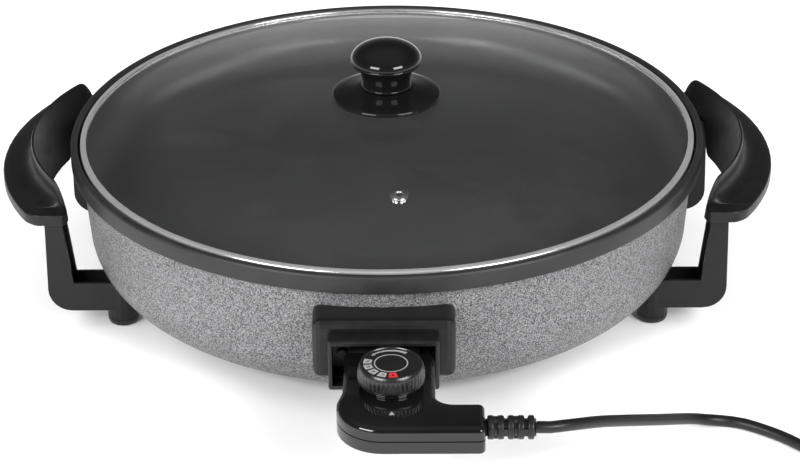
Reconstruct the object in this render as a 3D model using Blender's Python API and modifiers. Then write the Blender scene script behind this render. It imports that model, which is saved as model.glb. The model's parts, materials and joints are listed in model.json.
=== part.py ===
# Electric skillet with a loose glass lid and a plug-in thermostat, built piece by piece.
# Metres, +Z up. The table is z = 0 and the pan's axis is vertical.
import bpy
import bmesh
import math
from mathutils import Matrix, Vector

# Shared fits and mesh counts
GAP = 0.0003
CUT_OVERRUN = 0.002
MERGE_DISTANCE = 0.00001
WIDE_STEPS = 52
MIDDLE_STEPS = 26
SMALL_STEPS = 16
SCREW_STEPS = 8
RELIEF_STEPS = 10
ARC_STEPS = 4
SHORT_ARC_STEPS = 2
SHORT_ARC_RADIUS = 0.008

# Cooking pan: pressed aluminium, non-stick inside and over the rim
RIM_RADIUS = 0.208
RIM_TOP = 0.1068
SKIRT_HEIGHT = 0.0118
SKIRT_WALL = 0.002
BEAD_WIDTH = 0.0048
LEDGE_DROP = 0.0073
RIM_OVERHANG = 0.0105
PAN_RADIUS = RIM_RADIUS - RIM_OVERHANG
PAN_DEPTH = 0.0275
PAN_WALL = 0.0025
PAN_CORNER = 0.0195

# Outer casing: deep-drawn steel with a hammered finish
CASING_INSET = 0.006
CASING_RADIUS = RIM_RADIUS - CASING_INSET
CASING_TAPER = 0.0035
CASING_CORNER = 0.038
CASING_WALL = 0.0012
CASING_BASE = 0.011

# Heating element, its pressing plate and the centre tie
ELEMENT_TUBE = 0.0033
ELEMENT_BEND = 0.014
ELEMENT_DROP_RUN = 0.030
ELEMENT_RING_POINTS = 22
PLATE_INSET = 0.0585
PLATE_RADIUS = PAN_RADIUS - PLATE_INSET
ELEMENT_INSET = 0.017
ELEMENT_RADIUS = PLATE_RADIUS - ELEMENT_INSET
PLATE_WALL = 0.0015
PLATE_LIP = 0.0035
STUD_RADIUS = 0.003
STUD_HEAD_RADIUS = 0.010
STUD_HEAD_HEIGHT = 0.0035
SPACER_RADIUS = 0.0055
NUT_RADIUS = 0.0058
NUT_HEIGHT = 0.005
STUD_TAIL = 0.0015

# Handle arms, one at each corner, with their feet and screws
ARM_SPREAD = 0.0695
ARM_WIDTH = 0.019
ARM_BEYOND_RIM = 0.0118
ARM_OUT = RIM_RADIUS + ARM_BEYOND_RIM
ARM_TOP_LEAN = 0.0015
ARM_INNER_LEAN = 0.0055
ARM_DEPTH = 0.0172
ARM_BOTTOM = 0.0125
ARM_HEIGHT = 0.020
ARM_CORNER = 0.015
ARM_WALL = 0.0025
ARM_CAP = 0.003
FOOT_INSET = 0.0255
FOOT_REACH = CASING_RADIUS - CASING_TAPER - FOOT_INSET
FOOT_RADIUS = 0.010
FOOT_HEIGHT = 0.0048
FOOT_EDGE = 0.003
FOOT_STEM_RADIUS = 0.0040
FOOT_STEM_HEIGHT = 0.0035
SCREW_RADIUS = 0.002
SCREW_HEAD_RADIUS = 0.0038
SCREW_HEAD_HEIGHT = 0.0024
SCREW_CLEARANCE = 0.0004
ARM_SCREW_LENGTH = 0.0175
ARM_NUT_RADIUS = 0.0040
ARM_NUT_HEIGHT = 0.0032

# Grips: a crescent plate with a tall curved guard on its inner side
GRIP_OUTER_RADIUS = 0.165
GUARD_RADIUS = 0.135
GUARD_BEYOND_ARM = 0.0134
GRIP_SHELF = 0.0202
GUARD_REACH = ARM_OUT + GUARD_BEYOND_ARM
GRIP_OUTER_REACH = GUARD_REACH + GRIP_SHELF
GUARD_WALL = 0.0032
GUARD_LEAN = 0.005
GRIP_UNDERSIDE = 0.081
GRIP_THICKNESS = 0.0075
GUARD_RISE = 0.017
GUARD_DROP = 0.021
GRIP_TOP = GRIP_UNDERSIDE + GRIP_THICKNESS
GUARD_TOP = GRIP_TOP + GUARD_RISE
GUARD_BOTTOM = GRIP_UNDERSIDE - GUARD_DROP
GRIP_CROWN = 0.0020
GRIP_CAMBER = 0.0004
GUARD_FLANK_SHARE = 0.6
GRIP_EDGE = 0.003
GRIP_FILLET = 0.007
GRIP_HALF_LENGTH = 0.092
GUARD_HALF_LENGTH = 0.0800
GUARD_END = 0.0075
GUARD_DEEP_HALF = 0.046
GUARD_LOW_HALF = 0.0592
GRIP_TUCK = 0.005
GRIP_INNER_END = RIM_RADIUS - GRIP_TUCK
GRIP_POCKET_DEPTH = 0.0042
GRIP_POCKET_HALF = 0.054
GRIP_SCREW_LENGTH = 0.0085

# Terminal box on the front of the casing
BOX_WIDTH = 0.085
BOX_HEIGHT = 0.0392
BOX_BOTTOM = 0.0436
BOX_PROUD = 0.0106
BOX_INSET = 0.0135
BOX_FRONT = RIM_RADIUS + BOX_PROUD
BOX_REAR = CASING_RADIUS - CASING_TAPER - BOX_INSET
BOX_WALL = 0.0025
BOX_EDGE = 0.0048

# Socket cup that fills the terminal box's mouth
CUP_WIDTH = 0.0656
CUP_HEIGHT = 0.0334
CUP_BOTTOM = 0.0426
CUP_PROUD = 0.0114
CUP_FRONT = BOX_FRONT + CUP_PROUD
CUP_WALL = 0.0023
CUP_EDGE = 0.0016
SPIGOT_INSET = 0.0009
SPIGOT_FLOOR = 0.0012
SPIGOT_LENGTH = 0.0101
CUP_BACK = BOX_FRONT - SPIGOT_LENGTH
CUP_BACK_WALL = 0.003
BLOCK_WIDTH = 0.058
BLOCK_HEIGHT = 0.022
GUIDE_RADIUS = 0.0052
PIN_SPACING = 0.030
PIN_HEIGHT = 0.058
PIN_RADIUS = 0.002
PIN_LENGTH = 0.029
PIN_INSET = 0.006
PIN_FRONT = CUP_FRONT - PIN_INSET
CASING_HOLE_RADIUS = 0.0048
SOCKET_SCREW_SPACING = 0.050
SOCKET_SCREW_LENGTH = 0.019
SOCKET_SCREW_RADIUS = 0.0016

# Thermostat housing, seen from above: a neck that meets the socket and a side arm
PROBE_ENTRY = 0.0065
PROBE_NECK_REAR = CUP_FRONT - PROBE_ENTRY
PROBE_NECK_LEFT = -0.0234
PROBE_NECK_RIGHT = 0.0302
PROBE_NECK_LENGTH = 0.0435
PROBE_WAIST_LENGTH = 0.012
PROBE_BULGE_LENGTH = 0.0315
PROBE_WAIST = PROBE_NECK_REAR + PROBE_NECK_LENGTH
PROBE_BULGE_START = PROBE_WAIST + PROBE_WAIST_LENGTH
PROBE_BULGE = -0.0264
PROBE_ARM_WIDTH = 0.029
PROBE_FRONT = PROBE_BULGE_START + PROBE_BULGE_LENGTH
PROBE_ARM_REAR = PROBE_FRONT - PROBE_ARM_WIDTH
PROBE_ARM_END = 0.0580
PROBE_NECK_CORNER = 0.0025
PROBE_WAIST_CORNER = 0.010
PROBE_FRONT_CORNER = 0.027
PROBE_END_CORNER = 0.0035
PROBE_FILLET = 0.0105
PROBE_BOTTOM = 0.0492
PROBE_TOP = 0.0662
PROBE_PARTING = 0.0578
PROBE_WALL = 0.0022
PROBE_TOP_EDGE = 0.0038
PROBE_BOTTOM_EDGE = 0.0016

# What the thermostat housing holds
NOSE_WIDTH = 0.043
NOSE_HEIGHT = 0.0100
NOSE_CLEARANCE = 0.0025
NOSE_LENGTH = 0.027
NOSE_TIP = CUP_BACK + CUP_BACK_WALL + NOSE_CLEARANCE
NOSE_TAIL = NOSE_TIP + NOSE_LENGTH
NOSE_EDGE = 0.0008
SLEEVE_RADIUS = 0.0034
SLEEVE_LENGTH = 0.016
SLEEVE_INSET = 0.0015
ROD_RADIUS = 0.0029
ROD_PAST_BOX = 0.019
ROD_STUB = 0.005
ROD_TIP = BOX_REAR - ROD_PAST_BOX
ROD_TAIL = NOSE_TAIL + ROD_STUB
ROD_DOME_SHARE = 0.7
SWITCH_WIDTH = 0.026
SWITCH_LENGTH = 0.024
SWITCH_EDGE = 0.001
PROBE_SCREW_RADIUS = 0.0014
PROBE_SCREW_HEAD = 0.0026
PROBE_SCREW_HEAD_HEIGHT = 0.0014
PROBE_SCREW_LENGTH = 0.0085
PROBE_POST_RADIUS = 0.0034
PROBE_POST_PLACES_X = (-0.0180, 0.0480)
PROBE_POST_INSETS = (0.0145, 0.0095)
PROBE_POST_PLACES_Y = tuple(inset - PROBE_FRONT for inset in PROBE_POST_INSETS)

# Temperature dial
DIAL_X = 0.0048
DIAL_PAST_ROD = 0.0162
DIAL_Y = -ROD_TAIL - DIAL_PAST_ROD
DIAL_RADIUS = 0.0195
DIAL_TOOTH = 0.0007
DIAL_TEETH = 44
DIAL_TOP = 0.0812
DIAL_HEIGHT = 0.0112
DIAL_SKIRT = 0.0016
DIAL_CHAMFER = 0.0014
DIAL_DISH = 0.0006
DIAL_FACE_RADIUS = 0.0168
DIAL_BORE_DEPTH = 0.007
SHAFT_RADIUS = 0.003
COLLAR_RADIUS = 0.0166
COLLAR_STEP = 0.0014

# Strain relief and cord
RELIEF_HEIGHT = 0.0572
RELIEF_INSET = 0.0162
RELIEF_Y = RELIEF_INSET - PROBE_FRONT
RELIEF_TIP = 0.0868
RELIEF_RIB_RADIUS = 0.0069
RELIEF_CORE_RADIUS = 0.0053
RELIEF_RIBS = 5
RELIEF_FLANGE = 0.0016
RELIEF_FLANGE_RADIUS = 0.0054
RELIEF_NECK_RADIUS = 0.0043
RELIEF_RIB_SHARE = 0.66
CORD_RADIUS = 0.0035
CORD_LIFT = 0.0002
CORD_STEP = 0.016
CORD_ROUTE = (
    (0.0871, RELIEF_Y, RELIEF_HEIGHT),
    (0.0950, RELIEF_Y, 0.0571),
    (0.1060, -0.2890, 0.0552),
    (0.1250, -0.2730, 0.0474),
    (0.1455, -0.2520, 0.0350),
    (0.1660, -0.2305, 0.0220),
    (0.1838, -0.2120, 0.0110),
    (0.1950, -0.2050, 0.0058),
    (0.2060, -0.2033, 0.0037),
    (0.2180, -0.2070, 0.0037),
    (0.2370, -0.2200, 0.0037),
    (0.2530, -0.2360, 0.0037),
)
COIL_CENTRE = (0.3112, -0.2257)
COIL_START_DEGREES = 225.0
COIL_LOOPS = 4.375
COIL_LOOP_POINTS = 24
COIL_OUTER = 0.0461
COIL_GAP = 0.0006
COIL_LEAD = 0.008

# Generic round two-pin plug lying beside the coil
PLUG_RADIUS = 0.0172
PLUG_WAIST = 0.0125
PLUG_NECK = 0.0058
PLUG_LENGTH = 0.036
PLUG_NECK_LENGTH = 0.012
PLUG_PIN_RADIUS = 0.0024
PLUG_PIN_LENGTH = 0.019
PLUG_PIN_SPACING = 0.019
PLUG_FLAT_SHARE = 0.80

# Lid: toughened glass dome in a rolled steel band
GLASS_INSET = 0.0086
GLASS_RADIUS = RIM_RADIUS - GLASS_INSET
GLASS_WALL = 0.004
GLASS_RISE = 0.024
BAND_PROUD = 0.0022
BAND_RADIUS = GLASS_RADIUS + BAND_PROUD
BAND_WALL = 0.0008
BAND_LIP = 0.0038
KNOB_HOLE_RADIUS = 0.0032
KNOB_BASE_RADIUS = 0.0356
KNOB_BASE_EDGE = 0.0030
KNOB_BASE_RISE = 0.0040
KNOB_BASE_SAG = 0.0006
KNOB_NECK_FOOT = 0.0152
KNOB_NECK_MIDDLE = 0.0158
KNOB_RADIUS = 0.0234
KNOB_HEIGHT = 0.0312
KNOB_SEAM_SHARE = 0.60
KNOB_MIDDLE_SHARE = 0.22
KNOB_FLARE_SHARE = 0.44
KNOB_FLARE_RADIUS = 0.0180
KNOB_BORE_DEPTH = 0.014
KNOB_SCREW_RADIUS = 0.0025
KNOB_SCREW_HEAD = 0.0055
KNOB_SCREW_HEAD_HEIGHT = 0.0028
GASKET_RADIUS = 0.0095
GASKET_WALL = 0.0012
VENT_INSET = 0.0724
VENT_RADIUS_ON_LID = GLASS_RADIUS - VENT_INSET
VENT_ANGLE_DEGREES = -86.0
VENT_SHANK = 0.0042
VENT_FLANGE = 0.0058
VENT_FLANGE_HEIGHT = 0.0013
VENT_BORE = 0.0021

# Heights and radii that follow from the sizes above
LEDGE_Z = RIM_TOP - LEDGE_DROP
FLOOR_Z = LEDGE_Z - PAN_DEPTH
UNDER_FLOOR = FLOOR_Z - PAN_WALL
SKIRT_BOTTOM = RIM_TOP - SKIRT_HEIGHT
CASING_TOP = LEDGE_Z - PAN_WALL - GAP
CASING_LOW_RADIUS = CASING_RADIUS - CASING_TAPER
ELEMENT_Z = UNDER_FLOOR - GAP - ELEMENT_TUBE
PLATE_TOP = ELEMENT_Z - ELEMENT_TUBE - GAP
PLATE_BOTTOM = PLATE_TOP - PLATE_WALL
ARM_TOP = GRIP_UNDERSIDE - GAP
BAND_BOTTOM = LEDGE_Z + GAP
GLASS_EDGE_BOTTOM = BAND_BOTTOM + BAND_WALL + GAP
GLASS_EDGE_TOP = GLASS_EDGE_BOTTOM + GLASS_WALL
GLASS_SPHERE = (GLASS_RADIUS ** 2 + GLASS_RISE ** 2) / (2 * GLASS_RISE)
GLASS_APEX = GLASS_EDGE_TOP + GLASS_RISE
CORD_Z = CORD_RADIUS + CORD_LIFT
BODY_SHIFT = (PROBE_FRONT - RIM_RADIUS) / 2

PARTS = "electric_skillet"
CUTTERS = "cutters"


def clear_scene():
    for old in list(bpy.data.objects):
        bpy.data.objects.remove(old, do_unlink=True)
    for name in (PARTS, CUTTERS):
        collection = bpy.data.collections.new(name)
        bpy.context.scene.collection.children.link(collection)


def material(name, colour, roughness, metallic=0.0, alpha=1.0):
    made = bpy.data.materials.new(name)
    made.use_nodes = True
    shader = made.node_tree.nodes["Principled BSDF"]
    shader.inputs["Base Color"].default_value = (*colour, 1.0)
    shader.inputs["Roughness"].default_value = roughness
    shader.inputs["Metallic"].default_value = metallic
    shader.inputs["Alpha"].default_value = alpha
    made.diffuse_color = (*colour, alpha)
    return made


def build_materials():
    return {
        "nonstick": material("nonstick", (0.022, 0.022, 0.023), 0.42),
        "hammertone": material("hammertone", (0.30, 0.30, 0.31), 0.45, 0.6),
        "bakelite": material("bakelite", (0.022, 0.022, 0.024), 0.45),
        "gloss_black": material("gloss_black", (0.010, 0.010, 0.011), 0.08),
        "rubber": material("rubber", (0.020, 0.020, 0.020), 0.75),
        "steel": material("steel", (0.62, 0.62, 0.61), 0.22, 1.0),
        "aluminium": material("aluminium", (0.60, 0.61, 0.62), 0.38, 1.0),
        "brass": material("brass", (0.72, 0.55, 0.25), 0.30, 1.0),
        "ceramic": material("ceramic", (0.72, 0.70, 0.64), 0.60),
        "glass": material("glass", (0.80, 0.84, 0.83), 0.03, 0.0, 0.30),
        "silicone": material("silicone", (0.70, 0.70, 0.68), 0.55),
    }


def finish(obj, slot, parent):
    for collection in list(obj.users_collection):
        collection.objects.unlink(obj)
    bpy.data.collections[PARTS].objects.link(obj)
    own = SLOTS[slot].copy()
    own.name = obj.name + "_" + slot
    obj.data.materials.clear()
    obj.data.materials.append(own)
    obj.parent = parent
    return obj


def mesh_object(name, bm):
    bmesh.ops.remove_doubles(bm, verts=bm.verts, dist=MERGE_DISTANCE)
    bmesh.ops.recalc_face_normals(bm, faces=bm.faces)
    mesh = bpy.data.meshes.new(name)
    bm.to_mesh(mesh)
    bm.free()
    obj = bpy.data.objects.new(name, mesh)
    bpy.context.scene.collection.objects.link(obj)
    return obj


def apply_modifiers(obj):
    bpy.context.view_layer.update()
    evaluated = obj.evaluated_get(bpy.context.evaluated_depsgraph_get())
    mesh = bpy.data.meshes.new_from_object(evaluated)
    obj.modifiers.clear()
    obj.data = mesh
    return obj


def smooth(obj, degrees=32.0):
    obj.data.shade_smooth()
    obj.data.set_sharp_from_angle(angle=math.radians(degrees))
    return obj


def cutter(obj):
    for collection in list(obj.users_collection):
        collection.objects.unlink(obj)
    bpy.data.collections[CUTTERS].objects.link(obj)
    obj.hide_render = True
    obj.display_type = "WIRE"
    return obj


def boolean(obj, tool, operation="DIFFERENCE"):
    cutter(tool)
    modifier = obj.modifiers.new(operation.lower(), "BOOLEAN")
    modifier.operation = operation
    modifier.solver = "EXACT"
    modifier.object = tool
    return apply_modifiers(obj)


def turned(name, profile, steps, closed=False):
    mesh = bpy.data.meshes.new(name)
    edges = [(i, i + 1) for i in range(len(profile) - 1)]
    if closed:
        edges.append((len(profile) - 1, 0))
    mesh.from_pydata([(r, 0, z) for r, z in profile], edges, [])
    obj = bpy.data.objects.new(name, mesh)
    bpy.context.scene.collection.objects.link(obj)
    screw = obj.modifiers.new("turn", "SCREW")
    screw.angle = math.tau
    screw.steps = steps
    screw.render_steps = steps
    screw.use_merge_vertices = True
    screw.merge_threshold = MERGE_DISTANCE
    screw.use_smooth_shade = True
    return smooth(apply_modifiers(obj))


def box(name, low, high, bevel=0.0, segments=2):
    bm = bmesh.new()
    bmesh.ops.create_cube(bm, size=1.0)
    size = Vector(high) - Vector(low)
    centre = (Vector(high) + Vector(low)) / 2
    bmesh.ops.transform(bm, matrix=Matrix.Diagonal((*size, 1)), verts=bm.verts)
    bmesh.ops.translate(bm, vec=centre, verts=bm.verts)
    obj = mesh_object(name, bm)
    if bevel > 0:
        edge = obj.modifiers.new("edge", "BEVEL")
        edge.width = bevel
        edge.segments = segments
        apply_modifiers(obj)
    return obj


def rod(name, radius, start, end, steps=SMALL_STEPS):
    start = Vector(start)
    end = Vector(end)
    along = end - start
    bm = bmesh.new()
    bmesh.ops.create_cone(bm, cap_ends=True, segments=steps, radius1=radius, radius2=radius,
                          depth=along.length)
    turn = along.to_track_quat("Z", "Y").to_matrix().to_4x4()
    bmesh.ops.transform(bm, matrix=Matrix.Translation((start + end) / 2) @ turn, verts=bm.verts)
    return smooth(mesh_object(name, bm))


def offset_corners(corners, inset):
    moved = []
    count = len(corners)
    for i in range(count):
        before, here, after = (Vector(corners[i - 1][:2]), Vector(corners[i][:2]),
                               Vector(corners[(i + 1) % count][:2]))
        first = (here - before).normalized()
        second = (after - here).normalized()
        turn = first.cross(second)
        radius = corners[i][2] - math.copysign(inset, turn)
        bisect = Vector((-first.y, first.x)) + Vector((-second.y, second.x))
        scale = inset / (1 + first.dot(second))
        moved.append((*(here + bisect * scale), max(radius, 0.0)))
    return moved


def rounded_outline(corners, inset=0.0, steps=ARC_STEPS):
    # corners are (x, y, radius), counter-clockwise; each is rounded by an arc
    points = []
    corners = offset_corners(corners, inset)
    count = len(corners)
    for i in range(count):
        before, here, after = (Vector(corners[i - 1][:2]), Vector(corners[i][:2]),
                               Vector(corners[(i + 1) % count][:2]))
        radius = corners[i][2]
        first = (here - before).normalized()
        second = (after - here).normalized()
        turn = math.atan2(first.cross(second), first.dot(second))
        if radius <= MERGE_DISTANCE:
            points.append(here)
            continue
        reach = radius * math.tan(abs(turn) / 2)
        side = math.copysign(1.0, turn)
        centre = here - first * reach + Vector((-first.y, first.x)) * radius * side
        arm = here - first * reach - centre
        count_here = steps if radius > SHORT_ARC_RADIUS else min(steps, SHORT_ARC_STEPS)
        for k in range(count_here + 1):
            points.append(centre + Matrix.Rotation(turn * k / count_here, 2) @ arm)
    return points


def plate(name, points, low, high, bevel=0.0, segments=2):
    # A flat outline as a filled 2D curve, extruded by half its thickness each way
    curve = bpy.data.curves.new(name, "CURVE")
    curve.dimensions = "2D"
    curve.fill_mode = "BOTH"
    curve.extrude = (high - low) / 2
    spline = curve.splines.new("POLY")
    spline.points.add(len(points) - 1)
    for target, point in zip(spline.points, points):
        target.co = (point[0], point[1], 0, 1)
    spline.use_cyclic_u = True
    source = bpy.data.objects.new(name + "_outline", curve)
    source.location.z = (high + low) / 2
    bpy.context.scene.collection.objects.link(source)
    obj = curve_to_mesh(name, source)
    if bevel > 0:
        edge = obj.modifiers.new("edge", "BEVEL")
        edge.width = bevel
        edge.segments = segments
        edge.limit_method = "WEIGHT"
        weights = obj.data.attributes.new("bevel_weight_edge", "FLOAT", "EDGE")
        for index, line in enumerate(obj.data.edges):
            ends = [obj.data.vertices[i].co.z for i in line.vertices]
            weights.data[index].value = 1.0 if min(ends) > high - MERGE_DISTANCE else 0.0
        apply_modifiers(obj)
    return obj


def curve_to_mesh(name, source):
    bpy.context.view_layer.update()
    evaluated = source.evaluated_get(bpy.context.evaluated_depsgraph_get())
    mesh = bpy.data.meshes.new_from_object(evaluated)
    mesh.transform(source.matrix_world)
    bpy.data.objects.remove(source, do_unlink=True)
    bm = bmesh.new()
    bm.from_mesh(mesh)
    bpy.data.meshes.remove(mesh)
    return mesh_object(name, bm)


def tube(name, points, radius, detail=2):
    curve = bpy.data.curves.new(name, "CURVE")
    curve.dimensions = "3D"
    curve.bevel_depth = radius
    curve.bevel_resolution = detail
    curve.use_fill_caps = True
    spline = curve.splines.new("POLY")
    spline.points.add(len(points) - 1)
    for target, point in zip(spline.points, points):
        target.co = (*point, 1)
    source = bpy.data.objects.new(name + "_path", curve)
    bpy.context.scene.collection.objects.link(source)
    return smooth(curve_to_mesh(name, source), 50.0)


def arc(centre_r, centre_z, radius, start, end, steps=ARC_STEPS):
    points = []
    for k in range(steps + 1):
        angle = math.radians(start + (end - start) * k / steps)
        points.append((centre_r + radius * math.cos(angle), centre_z + radius * math.sin(angle)))
    return points


def cooking_pan():
    outer = PAN_RADIUS + PAN_WALL
    bead = BEAD_WIDTH / 2
    profile = [(0, FLOOR_Z)]
    profile += arc(PAN_RADIUS - PAN_CORNER, FLOOR_Z + PAN_CORNER, PAN_CORNER, -90, 0)
    profile += [(PAN_RADIUS, LEDGE_Z), (RIM_RADIUS - BEAD_WIDTH, LEDGE_Z)]
    profile += arc(RIM_RADIUS - bead, RIM_TOP - bead, bead, 180, 0, 3)
    profile += [(RIM_RADIUS, SKIRT_BOTTOM), (RIM_RADIUS - SKIRT_WALL, SKIRT_BOTTOM)]
    profile += [(RIM_RADIUS - SKIRT_WALL, LEDGE_Z - PAN_WALL), (outer, LEDGE_Z - PAN_WALL)]
    profile += arc(PAN_RADIUS - PAN_CORNER, FLOOR_Z + PAN_CORNER, PAN_CORNER + PAN_WALL, 0, -90, 3)
    profile += [(0, UNDER_FLOOR)]
    return turned("cooking_pan", profile, WIDE_STEPS)


def casing_outer_profile(grow):
    # From the top of the wall down its outer side to the axis, moved outward by grow
    corner_z = CASING_BASE + CASING_CORNER
    profile = [(CASING_RADIUS + grow, CASING_TOP)]
    profile += arc(CASING_LOW_RADIUS - CASING_CORNER, corner_z, CASING_CORNER + grow, 0, -90)
    profile += [(0, CASING_BASE - grow)]
    return profile


def casing_radius_at(z):
    share = (z - CASING_BASE - CASING_CORNER) / (CASING_TOP - CASING_BASE - CASING_CORNER)
    return CASING_LOW_RADIUS + CASING_TAPER * share


def casing_space(name):
    # The space that the casing takes up, with its fit gap, as a solid cutter
    profile = [(0, RIM_TOP), (CASING_RADIUS + GAP, RIM_TOP)] + casing_outer_profile(GAP)
    return turned(name, profile, WIDE_STEPS)


def outer_casing():
    inside = list(reversed(casing_outer_profile(-CASING_WALL)))
    obj = turned("outer_casing", inside + casing_outer_profile(0.0), WIDE_STEPS)
    for sx in (-1, 1):
        for sy in (-1, 1):
            x, y = sx * FOOT_REACH, sy * ARM_SPREAD
            hole = rod("casing_screw_hole", SCREW_RADIUS + SCREW_CLEARANCE,
                       (x, y, 0), (x, y, CASING_BASE + CASING_CORNER), SCREW_STEPS)
            boolean(obj, hole)
    for x in (-PIN_SPACING / 2, 0, PIN_SPACING / 2):
        hole = rod("casing_terminal_hole", CASING_HOLE_RADIUS, (x, -BOX_REAR, PIN_HEIGHT),
                   (x, -BOX_FRONT, PIN_HEIGHT), SCREW_STEPS)
        boolean(obj, hole)
    for side in (-1, 1):
        x = side * SOCKET_SCREW_SPACING / 2
        hole = rod("casing_socket_hole", SOCKET_SCREW_RADIUS + SCREW_CLEARANCE,
                   (x, -BOX_REAR, PIN_HEIGHT), (x, -BOX_FRONT, PIN_HEIGHT), SCREW_STEPS)
        boolean(obj, hole)
    hole = rod("casing_centre_hole", STUD_RADIUS + SCREW_CLEARANCE, (0, 0, 0),
               (0, 0, CASING_BASE * 2), SCREW_STEPS)
    return smooth(boolean(obj, hole))


def heating_element():
    # An open ring under the pan's floor whose two ends turn out to the terminal pins
    leg = PIN_SPACING / 2
    bend = ELEMENT_BEND
    mouth = math.asin((leg + bend) / (ELEMENT_RADIUS + bend))
    ring_x = (ELEMENT_RADIUS + bend) * math.sin(mouth) - leg - bend
    out_y = -(ELEMENT_RADIUS + bend) * math.cos(mouth)
    right = []
    for k in range(ELEMENT_RING_POINTS // 2 + 1):
        angle = math.pi - (math.pi - mouth) * k / (ELEMENT_RING_POINTS // 2)
        right.append((ELEMENT_RADIUS * math.sin(angle), -ELEMENT_RADIUS * math.cos(angle), ELEMENT_Z))
    sweep = math.pi / 2 - mouth
    for k in range(1, ARC_STEPS + 1):
        angle = mouth + sweep * k / ARC_STEPS
        right.append((leg + bend + ring_x - bend * math.sin(angle), out_y + bend * math.cos(angle),
                      ELEMENT_Z))
    drop_start = out_y - bend / 2
    for k in range(ARC_STEPS + 1):
        share = k / ARC_STEPS
        ease = (1 - math.cos(math.pi * share)) / 2
        z = ELEMENT_Z + (PIN_HEIGHT - ELEMENT_Z) * ease
        right.append((leg, drop_start - ELEMENT_DROP_RUN * share, z))
    right.append((leg, -(PIN_FRONT - PIN_LENGTH - GAP), PIN_HEIGHT))
    left = [(-x, y, z) for x, y, z in reversed(right[1:])]
    return tube("heating_element", left + right, ELEMENT_TUBE, 1)


def element_plate():
    lip = PLATE_LIP
    profile = [(STUD_RADIUS + SCREW_CLEARANCE, PLATE_TOP), (PLATE_RADIUS - lip, PLATE_TOP),
               (PLATE_RADIUS, PLATE_TOP - lip), (PLATE_RADIUS - PLATE_WALL, PLATE_TOP - lip),
               (PLATE_RADIUS - lip - PLATE_WALL / 2, PLATE_BOTTOM),
               (STUD_RADIUS + SCREW_CLEARANCE, PLATE_BOTTOM)]
    return turned("element_plate", profile, SMALL_STEPS, closed=True)


def hexagon(name, radius, low, high, bore, place=(0, 0)):
    obj = rod(name, radius, (*place, low), (*place, high), 6)
    if bore > 0:
        hole = rod(name + "_bore", bore, (*place, low - CUT_OVERRUN), (*place, high + CUT_OVERRUN),
                   SCREW_STEPS)
        boolean(obj, hole)
    return obj


def centre_tie():
    head_top = UNDER_FLOOR - GAP
    nut_top = CASING_BASE - GAP
    nut_bottom = nut_top - NUT_HEIGHT
    head_low = head_top - STUD_HEAD_HEIGHT
    stud = turned("tie_stud", [(0, head_top), (STUD_HEAD_RADIUS, head_top),
                               (STUD_HEAD_RADIUS, head_low), (STUD_RADIUS, head_low),
                               (STUD_RADIUS, nut_bottom - STUD_TAIL), (0, nut_bottom - STUD_TAIL)],
                  SMALL_STEPS)
    low = CASING_BASE + CASING_WALL + GAP
    high = PLATE_BOTTOM - GAP
    inner = STUD_RADIUS + GAP
    spacer = turned("spacer_tube", [(SPACER_RADIUS, high), (SPACER_RADIUS, low), (inner, low),
                                    (inner, high)], SMALL_STEPS, closed=True)
    nut = hexagon("tie_nut", NUT_RADIUS, nut_bottom, nut_top, STUD_RADIUS + GAP)
    return stud, spacer, nut


def arm_outline(inset, extra):
    # L-shaped side view, outward along +x; inset follows the outer edge, extra clears the inner one
    out = ARM_OUT - inset
    top_out = ARM_OUT - ARM_TOP_LEAN - inset
    low = ARM_BOTTOM + inset
    inner = ARM_OUT - ARM_DEPTH - extra
    inner_top = ARM_OUT - ARM_DEPTH + ARM_INNER_LEAN - extra
    shelf = ARM_BOTTOM + ARM_HEIGHT + extra
    top = ARM_TOP - (ARM_CAP if inset > 0 else 0.0)
    end = FOOT_REACH + (FOOT_RADIUS - ARM_WALL if inset > 0 else 0.0)
    return rounded_outline([(end, low, 0.0), (out, low, ARM_CORNER - inset), (top_out, top, 0.0),
                            (inner_top, top, 0.0), (inner, shelf, 0.0), (end, shelf, 0.0)], 0.0, 6)


def stand_up(obj):
    # A plate drawn in x-y is turned so that its y runs up and its thickness runs along y
    obj.data.transform(Matrix.Rotation(math.pi / 2, 4, "X"))
    return obj


def place_at_corner(obj, sx, sy):
    if sx < 0:
        obj.data.transform(Matrix.Rotation(math.pi, 4, "Z"))
    obj.data.transform(Matrix.Translation((0, sy * ARM_SPREAD, 0)))
    obj.data.update()
    return obj


def handle_arm(name, sx, sy):
    half = ARM_WIDTH / 2
    hollow = half - ARM_WALL
    arm = stand_up(plate(name, arm_outline(0.0, 0.0), -half, half))
    trough = stand_up(plate("arm_trough", arm_outline(ARM_WALL, CUT_OVERRUN), -hollow, hollow))
    boolean(arm, trough)
    boss_top = CASING_BASE + CASING_CORNER
    boss = rod("arm_boss", FOOT_RADIUS, (FOOT_REACH, 0, FOOT_HEIGHT + GAP), (FOOT_REACH, 0, boss_top))
    boolean(arm, boss, "UNION")
    head_seat = FOOT_HEIGHT + GAP * 2 + FOOT_STEM_HEIGHT + SCREW_HEAD_HEIGHT + GAP
    recess = rod("arm_recess", FOOT_STEM_RADIUS + GAP, (FOOT_REACH, 0, 0), (FOOT_REACH, 0, head_seat))
    boolean(arm, recess)
    hole = rod("arm_hole", SCREW_RADIUS + GAP, (FOOT_REACH, 0, 0), (FOOT_REACH, 0, RIM_TOP), SCREW_STEPS)
    boolean(arm, hole)
    grip_x = grip_screw_x()
    hole = rod("arm_grip_hole", SCREW_RADIUS + GAP, (grip_x, 0, ARM_TOP - ARM_CAP - CUT_OVERRUN),
               (grip_x, 0, ARM_TOP + CUT_OVERRUN), SCREW_STEPS)
    boolean(arm, hole)
    place_at_corner(arm, sx, sy)
    return smooth(boolean(arm, casing_space("arm_casing_space")))


def grip_screw_x():
    return ARM_OUT - ARM_TOP_LEAN - ARM_WALL - SCREW_HEAD_RADIUS - GAP * 2


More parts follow.
